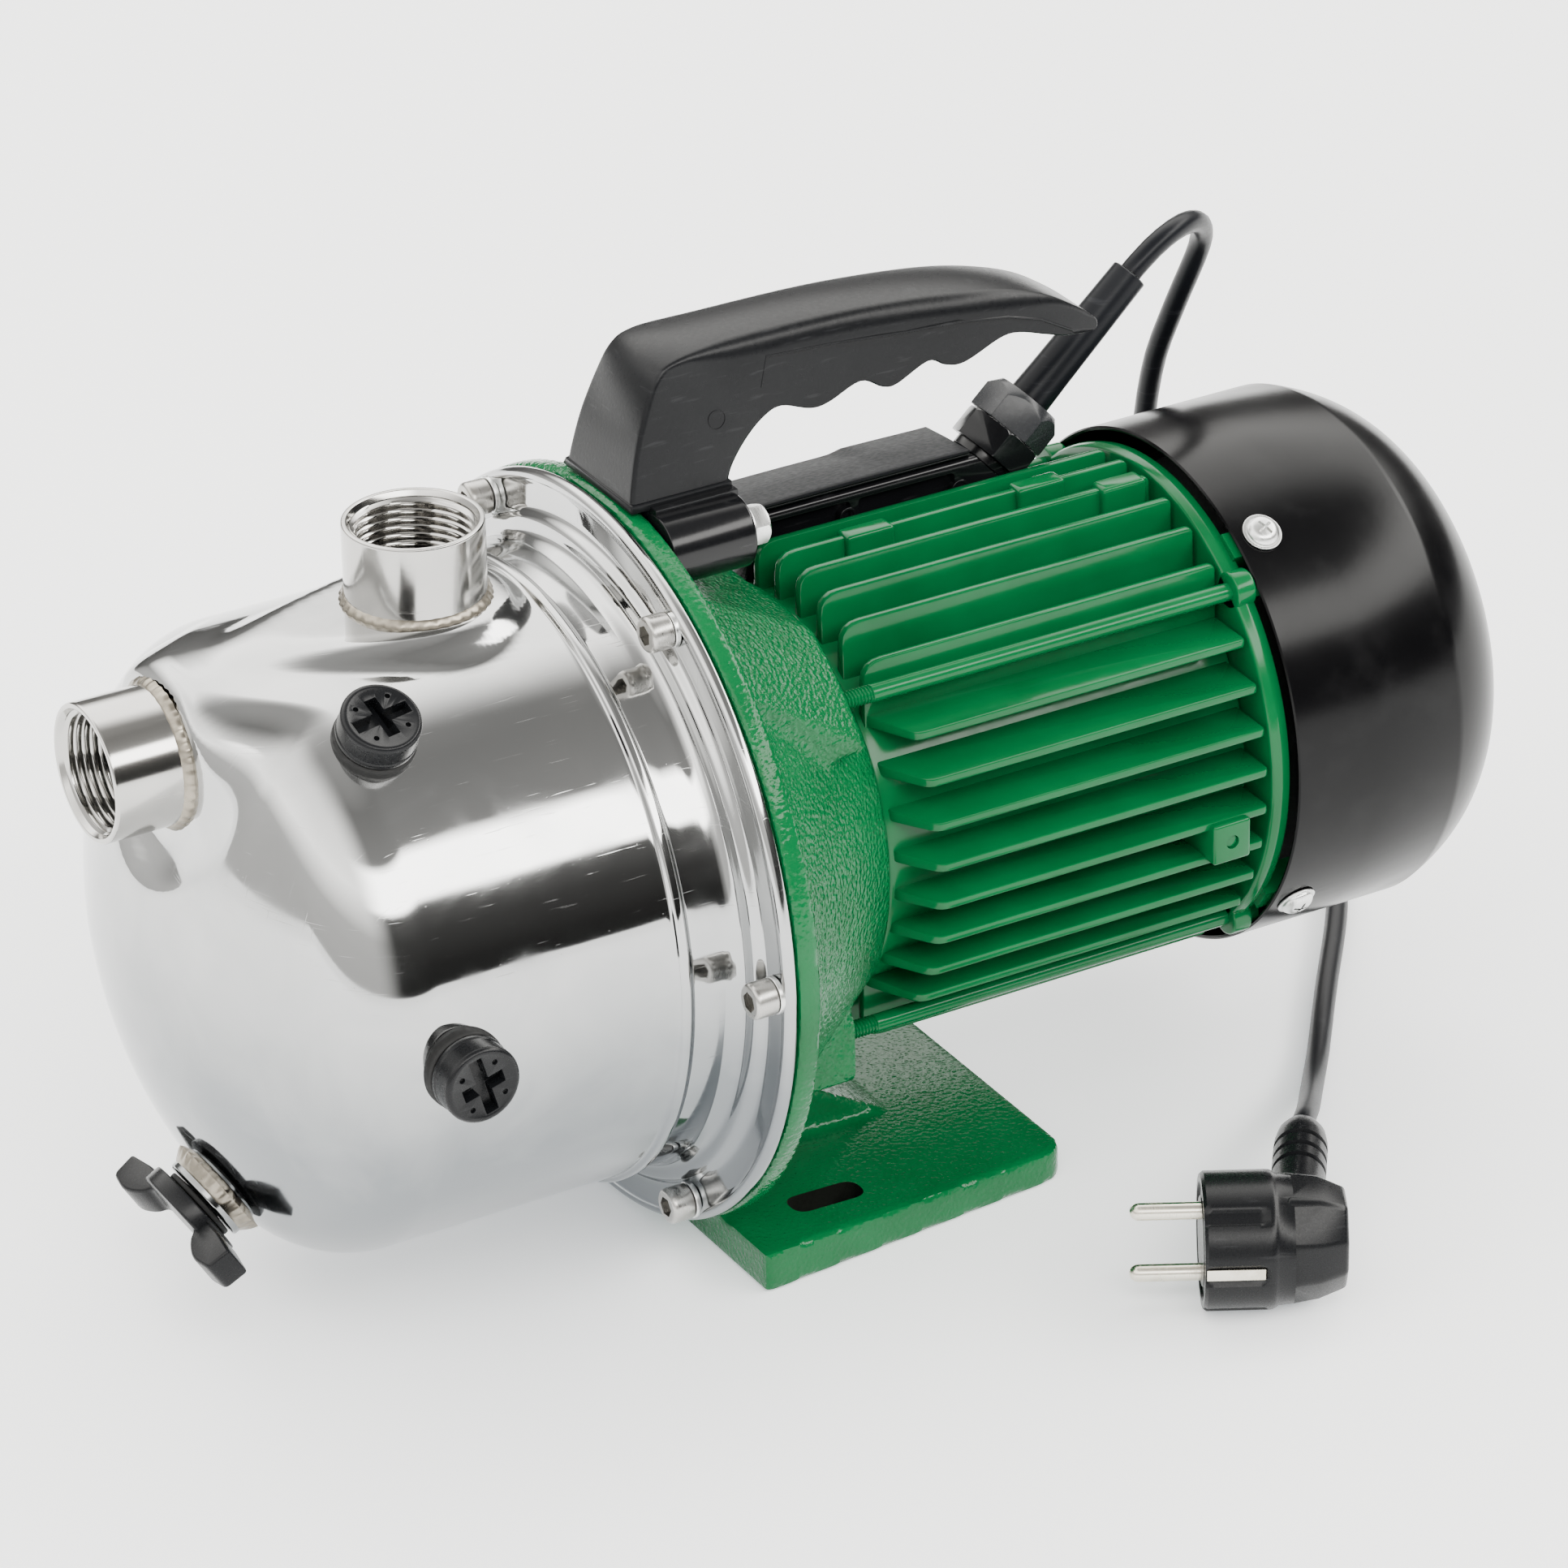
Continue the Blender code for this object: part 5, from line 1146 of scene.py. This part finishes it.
# ---------------------------------------------------------------- handle
GRIP = [
    (2.0, 106.2), (3.2, 113.0), (5.5, 122.0), (9.5, 132.0), (13.0, 138.5), (18.0, 141.6), (30.0, 142.6),
    (64.5, 142.4), (87.4, 141.0), (106.0, 138.8), (122.0, 135.6), (134.0, 131.6), (143.0, 126.4),
    (149.5, 121.5), (151.8, 118.6), (150.0, 116.6), (140.2, 118.4), (133.0, 121.0), (123.6, 124.4),
    (116.8, 124.6), (105.1, 121.1), (99.3, 121.8), (94.1, 124.0), (84.3, 120.1), (79.8, 120.3),
    (73.3, 123.4), (63.6, 120.1), (57.9, 119.6), (49.1, 122.4), (43.4, 120.6), (37.6, 115.8),
    (32.8, 109.5), (31.2, 104.0),
]
GRIP_PANEL = [(41.0, 117.0), (43.2, 129.3), (45.4, 137.3), (64.0, 136.3), (87.2, 134.1), (103.8, 133.0),
              (119.8, 130.2), (130.8, 126.3), (141.9, 119.7), (150.0, 105.0), (100.0, 100.0), (41.0, 110.0)]


GRIP_HALF = 17.5             # half the width of the handle at its foot
GRIP_TIP = 70                # from here on the outline runs along the underside


def grip_outline():
    points = [Vector((s, 0.0, h)) for s, h in GRIP]
    before, after = points[0] - Vector((0.5, 0.0, 6.0)), points[-1] - Vector((0.2, 0.0, 6.0))
    curve = smooth_points(points, before, after, 5)
    return [Vector((point.x, point.z)) for point in curve]


def thin(item):
    """Thins a piece of the handle upwards and towards the tip."""
    for vertex in item.data.vertices:
        rise = min(max(vertex.co.z / MM - AXIS_HEIGHT - 106.0, 0.0), 34.0)
        narrow = min(max((vertex.co.x / MM - FLANGE_X - 104.0) / 48.0, 0.0), 1.0)
        vertex.co.y *= (1.0 - rise * 4.5 / 34.0 / GRIP_HALF) * (1.0 - 0.58 * narrow ** 1.7)
    return item


def grip_edges():
    """For each point of the outline: the point, its inward normal, its edge radius and its crown height."""
    outline = grip_outline()
    edges = []
    for index, point in enumerate(outline):
        along = (outline[min(index + 1, len(outline) - 1)] - outline[max(index - 1, 0)]).normalized()
        s, h = point
        above, size = 0.0, 1.8
        if index < GRIP_TIP:
            above = ease(h, 122.0, 134.0)
            size = 1.2 + 3.2 * above * ease(s, 14.0, 40.0) * ease(150.0 - s, 0.0, 30.0)
        size = min(size, 0.4 + 0.30 * max(151.0 - s, 0.0))
        edges.append((point, Vector((along.y, -along.x)), size, 1.5 * above * ease(150.0 - s, 0.0, 40.0)))
    return edges


def grip_body():
    """Body of the handle: a crowned middle and round edges, made of rings across its width."""
    edges = grip_edges()
    layers = [(0.5 * pi, t) for t in (0.0, 0.25, 0.5, 0.7, 0.85, 0.95, 1.0)]
    layers += [(0.5 * pi * (1.0 - step / 6.0), 1.0) for step in range(1, 7)]
    halves = []
    for side in SIDES:
        rings = []
        for angle, t in layers:
            ring = []
            for point, inward, size, rise in edges:
                across = (GRIP_HALF - size) * t + size * cos(angle)
                sink = size * (1.0 - sin(angle)) - rise * (1.0 - (across / GRIP_HALF) ** 2)
                moved = point + inward * sink
                ring.append(inside(SIDE, moved.x, moved.y, -side * across))
            rings.append(ring)
        halves.append(rings)
    shape = Shape()
    shape.skin(list(reversed(halves[0])) + halves[1][1:], caps=CAPPED)
    return shape.make("carrying_handle", HANDLE_BLACK)


def moulding_lines():
    """Raised line along the edge of the grip panel on both sides."""
    lines = Shape()
    path = [Vector(point) for point in GRIP_PANEL[1:9]]
    for side in SIDES:
        rings = []
        for index, point in enumerate(path):
            along = (path[min(index + 1, len(path) - 1)] - path[max(index - 1, 0)]).normalized()
            ring = []
            for off, out in regular(6, 0.34):
                spot = point + Vector((-along.y, along.x)) * off
                ring.append(inside(SIDE, spot.x, spot.y, side * (GRIP_HALF - 0.1 + out)))
            rings.append(ring)
        lines.skin(rings, caps=CAPPED)
    return lines.make("moulding_lines", HANDLE_BLACK)


def handle_bolt(name, axis):
    """Bolt and washer with a hex head."""
    bolt = turned(name, rounded([(2.0, 0.0), (2.0, 2.8), (32.3, 2.8), (32.3, 7.0, 0.3), (33.7, 7.0, 0.3),
                                 (33.7, 5.0), (34.2, 4.8), (34.2, 0.0)]), axis, 56, ZINC)
    shape = Shape()
    shape.prism(regular(6, 5.77), 33.9, 38.8, axis)
    crown = turned("crown", [(30.0, 0.0), (30.0, 5.9), (37.7, 5.9), (38.8, 5.0), (38.8, 0.0)], axis, 60)
    head = bevel(boolean(shape.make("bolt_head", ZINC), crown, operation="INTERSECT"), 0.2, 2, 25.0)
    return boolean(bolt, head, operation="UNION")


def make_handle():
    item = grip_body()
    panels = Shape()
    for low, high in ((GRIP_HALF - 0.6, GRIP_HALF + 4.0), (-GRIP_HALF - 4.0, -GRIP_HALF + 0.6)):
        panels.prism(GRIP_PANEL, low, high, SIDE)
    boolean(item, panels.make("grip_panels"))
    mark = Shape()
    low, high = GRIP_HALF - 0.18, GRIP_HALF + 2.0
    for side in SIDES:
        spot = place((29.0, 0.0, 124.0), (0.0, side, 0.0))
        mark.lathe([(low, 2.3), (high, 2.3), (high, 2.7), (low, 2.7)], spot, 40, closed=True)
    show(thin(boolean(item, mark.make("ejector_marks"))), "handle")
    attach(thin(moulding_lines()))
    foot = Shape()
    plate = rounded([(1.6, 104.4), (1.6, 106.9, 0.6), (31.9, 106.9, 0.6), (31.9, 104.4)])
    foot.prism(plate, -18.0, 18.0, SIDE)
    foot.prism([(7.1, 95.5), (7.1, 105.0), (31.0, 105.0), (31.0, 95.5)], -17.3, 17.3, SIDE)
    attach(bevel(foot.make("handle_base", HANDLE_BLACK), 0.5, 2))
    sleeves = Shape()
    sleeve = rounded([(7.1, 3.3), (7.1, 10.0, 0.5), (32.0, 10.0, 0.9), (32.0, 3.3)], closed=True)
    for side, low, high in ((-1.0, -21.0, -16.0), (1.0, 17.0, 20.0)):
        sleeves.lathe(sleeve, bolt_place(side), 64, closed=True)
        sleeves.box((7.2, low, 95.0), (31.8, high, 105.5))
    attach(sleeves.make("handle_sleeves", BOX_BLACK))
    for number, side in enumerate(SIDES, 1):
        bolt = handle_bolt("bolt_%d" % number, bolt_place(side) @ turn_z(17.0 * number - 5.0))
        show(bolt, "handle_bolt_%d" % number)


# ---------------------------------------------------------------- terminal box, gland
GLAND = place(GLAND_BASE, GLAND_AXIS)
LID_FALL = 0.325             # slope of the lid away from the handle
BOX_NEAR, BOX_FAR = 17.0, 57.0
LID_START = 49.0


def beyond_gland(back_off):
    """Everything past the gland's seat."""
    return box_tool("beyond", (-90.0, -90.0, -back_off), (90.0, 90.0, 90.0), GLAND)


def box_ring(s, inset, low, top, corner=2.5):
    """Section of the box with a sloping top, at an inset from its outside."""
    y0, y1 = BOX_NEAR + inset, BOX_FAR - inset
    outline = rounded([(y0, low, corner), (y1, low, corner), (y1, top - LID_FALL * (y1 - BOX_NEAR), corner),
                       (y0, top - LID_FALL * inset, corner)], closed=True)
    return [at(s, y, h) for y, h in outline]


def make_box():
    """Box with two wells in its near side, a wire way, two screw posts and two thin lips under the lid."""
    shell = Shape()
    rings = [box_ring(56.0, 1.0, 54.8, 75.0)] + [box_ring(s, 0.0, 54.8, 75.4) for s in (57.0, 104.0, 160.0)]
    shell.skin(rings, caps=CAPPED)
    item = shell.make("terminal_case", BOX_BLACK)
    cuts = Shape()
    for start, end in ((60.0, 88.0), (90.5, 121.0)):
        cuts.prism(rectangle((start, 59.0), (end, 72.0), 1.5), -19.2, -10.0, SIDE)
    way = rod_tool("wire_way", 7.0, 50.0, 60.0, place((96.0, 30.0, 0.0), UP), 32)
    boolean(item, bevel(cuts.make("wells"), 0.6, 2, 60.0), way, beyond_gland(3.2),
            rod_tool("gland_way", 5.3, -14.0, 6.0, GLAND))
    room = Shape()
    room.skin([box_ring(s, 2.4, 57.4, 90.0, 0.5) for s in (59.0, 127.0)], caps=CAPPED)
    show(bevel(boolean(item, room.make("room")), 0.4, 2, 45.0), "terminal_box")
    posts = Shape()
    for s, h, radius in ((87.2, 67.5, 2.6), (122.8, 66.5, 2.8)):
        outline = rounded([(-3.0, 0.0), (-3.0, radius), (0.2, radius, 0.3), (0.2, radius - 0.9, 0.2),
                           (-0.6, radius - 0.9), (-0.6, 0.0)])
        posts.lathe(outline, place((s, BOX_NEAR, h), (0.0, -1.0, 0.0)), 32)
    attach(posts.make("box_screw_posts", BOX_BLACK))
    rim = Shape()
    for low, high, inset in ((75.9, 76.5, 0.7), (76.8, 77.3, 0.2)):
        y0, y1 = 16.4 + inset, 57.9 - inset
        fall = LID_FALL * (y1 - BOX_NEAR)
        outline = [(y0, low), (y1, low - fall), (y1, high - fall), (y0, high)]
        rim.skin([[at(s, y, h) for y, h in outline] for s in (50.6, 134.0)], caps=CAPPED)
    lips = boolean(rim.make("lid_lips", BOX_BLACK), beyond_gland(3.6))
    attach(bevel(lips, 0.15, 2))


def make_lid():
    """Sloping lid, slightly humped, with a shallow step towards the gland."""
    rings = []
    for index in range(25):
        s = LID_START + 4.0 * index
        hump = 0.55 * sin(pi * (s - LID_START) / 84.0) if s < LID_START + 84.0 else 0.0
        step = 1.1 * ease(s, 104.0, 108.5)
        tilt = 0.5 * (1.0 - ease(s, LID_START, 60.0))
        y0, y1 = 16.0, 58.5
        top = 78.1 + hump
        far = top - LID_FALL * (y1 - y0) + step
        outline = rounded([(y0, 77.4), (y1, 77.4 - LID_FALL * (y1 - y0)), (y1, far - tilt, 2.2),
                           (0.5 * (y0 + y1), 0.5 * (top + far) + 0.7 - tilt, 6.0), (y0, top - tilt, 2.2)],
                          closed=True, steps=5)
        rings.append([at(s, y, h) for y, h in outline])
    shape = Shape()
    shape.skin(rings, caps=CAPPED)
    lid = boolean(shape.make("terminal_cover", LID_BLACK), beyond_gland(3.2))
    show(bevel(lid, 2.0, 5, 40.0), "terminal_lid")


def hexagonal(name, corner, low, high, crown, material, turn=0.0, bore=0.0):
    """Hex nut shape: a six-sided prism whose ends are turned down by a cone."""
    shape = Shape()
    shape.prism(regular(6, corner), low, high, GLAND @ turn_z(turn))
    cone = turned("cone", [(low - 1.0, 0.0), (low - 1.0, corner - 0.5), (low + 1.2, corner + 0.2),
                           (high - crown, corner + 0.1), (high, corner - 0.75 * crown),
                           (high + 1.0, corner - 0.75 * crown), (high + 1.0, 0.0)], GLAND, 72)
    item = boolean(shape.make(name, material), cone, operation="INTERSECT")
    if bore:
        boolean(item, rod_tool("bore", bore, low - 2.0, high + 2.0, GLAND, 48))
    return bevel(item, 0.35, 2, 20.0)


def make_gland():
    """Hex body with its shank and collar, domed nut and tapered bend sleeve."""
    show(hexagonal("gland_hex", 12.2, -0.2, 8.0, 0.9, BOX_BLACK), "cable_gland")
    shank = Shape()
    for outline, segments in ((((-10.0, 3.3), (-10.0, 5.0, 0.4), (1.0, 5.0), (1.0, 3.3)), 40),
                              (((-3.0, 4.9), (-3.0, 9.0, 0.4), (-0.1, 9.0, 0.4), (-0.1, 4.9)), 48)):
        shank.lathe(rounded(outline, closed=True), GLAND, segments, closed=True)
    attach(shank.make("gland_shank", BOX_BLACK))
    nut = hexagonal("gland_cap", 11.9, 8.3, 19.0, 3.6, GLAND_GREY, turn=24.0, bore=6.4)
    show(nut, "gland_nut")
    sleeve = rounded([(8.6, 3.35), (8.6, 6.0), (19.0, 6.0), (28.0, 5.75), (SLEEVE_END - 0.4, 5.2),
                      (SLEEVE_END, 4.8, 0.3), (SLEEVE_END, 3.35)], closed=True)
    show(turned("strain_sleeve", sleeve, GLAND, 56, LEAD_BLACK, closed=True), "bend_sleeve")


make_handle()
make_box()
make_lid()
make_gland()


# ---------------------------------------------------------------- pieces kept as the frame has them
KEPT = {
    "ejector": HYDRAULIC_BLACK, "ejector_nozzle": NOZZLE_BRASS, "diffuser": HYDRAULIC_BLACK,
    "impeller": BARE_STEEL, "impeller_nut": SCREW_STEEL, "shaft": STEEL_SHAFT, "rotor": LAMINATED,
    "cooling_fan": FAN_BLACK, "seal_ring": CERAMIC, "seal_seat": CERAMIC, "back_plate": BARE_STEEL,
    "body_gasket": RUBBER, "front_bearing": STEEL_SHAFT, "rear_bearing": STEEL_SHAFT,
    "stator_core": LAMINATED, "winding_front": COPPER, "winding_rear": COPPER, "capacitor": GREY,
    "terminal_block": CERAMIC,
}
for name, material in KEPT.items():
    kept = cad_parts[name]
    kept.data.materials.clear()
    kept.data.materials.append(material)
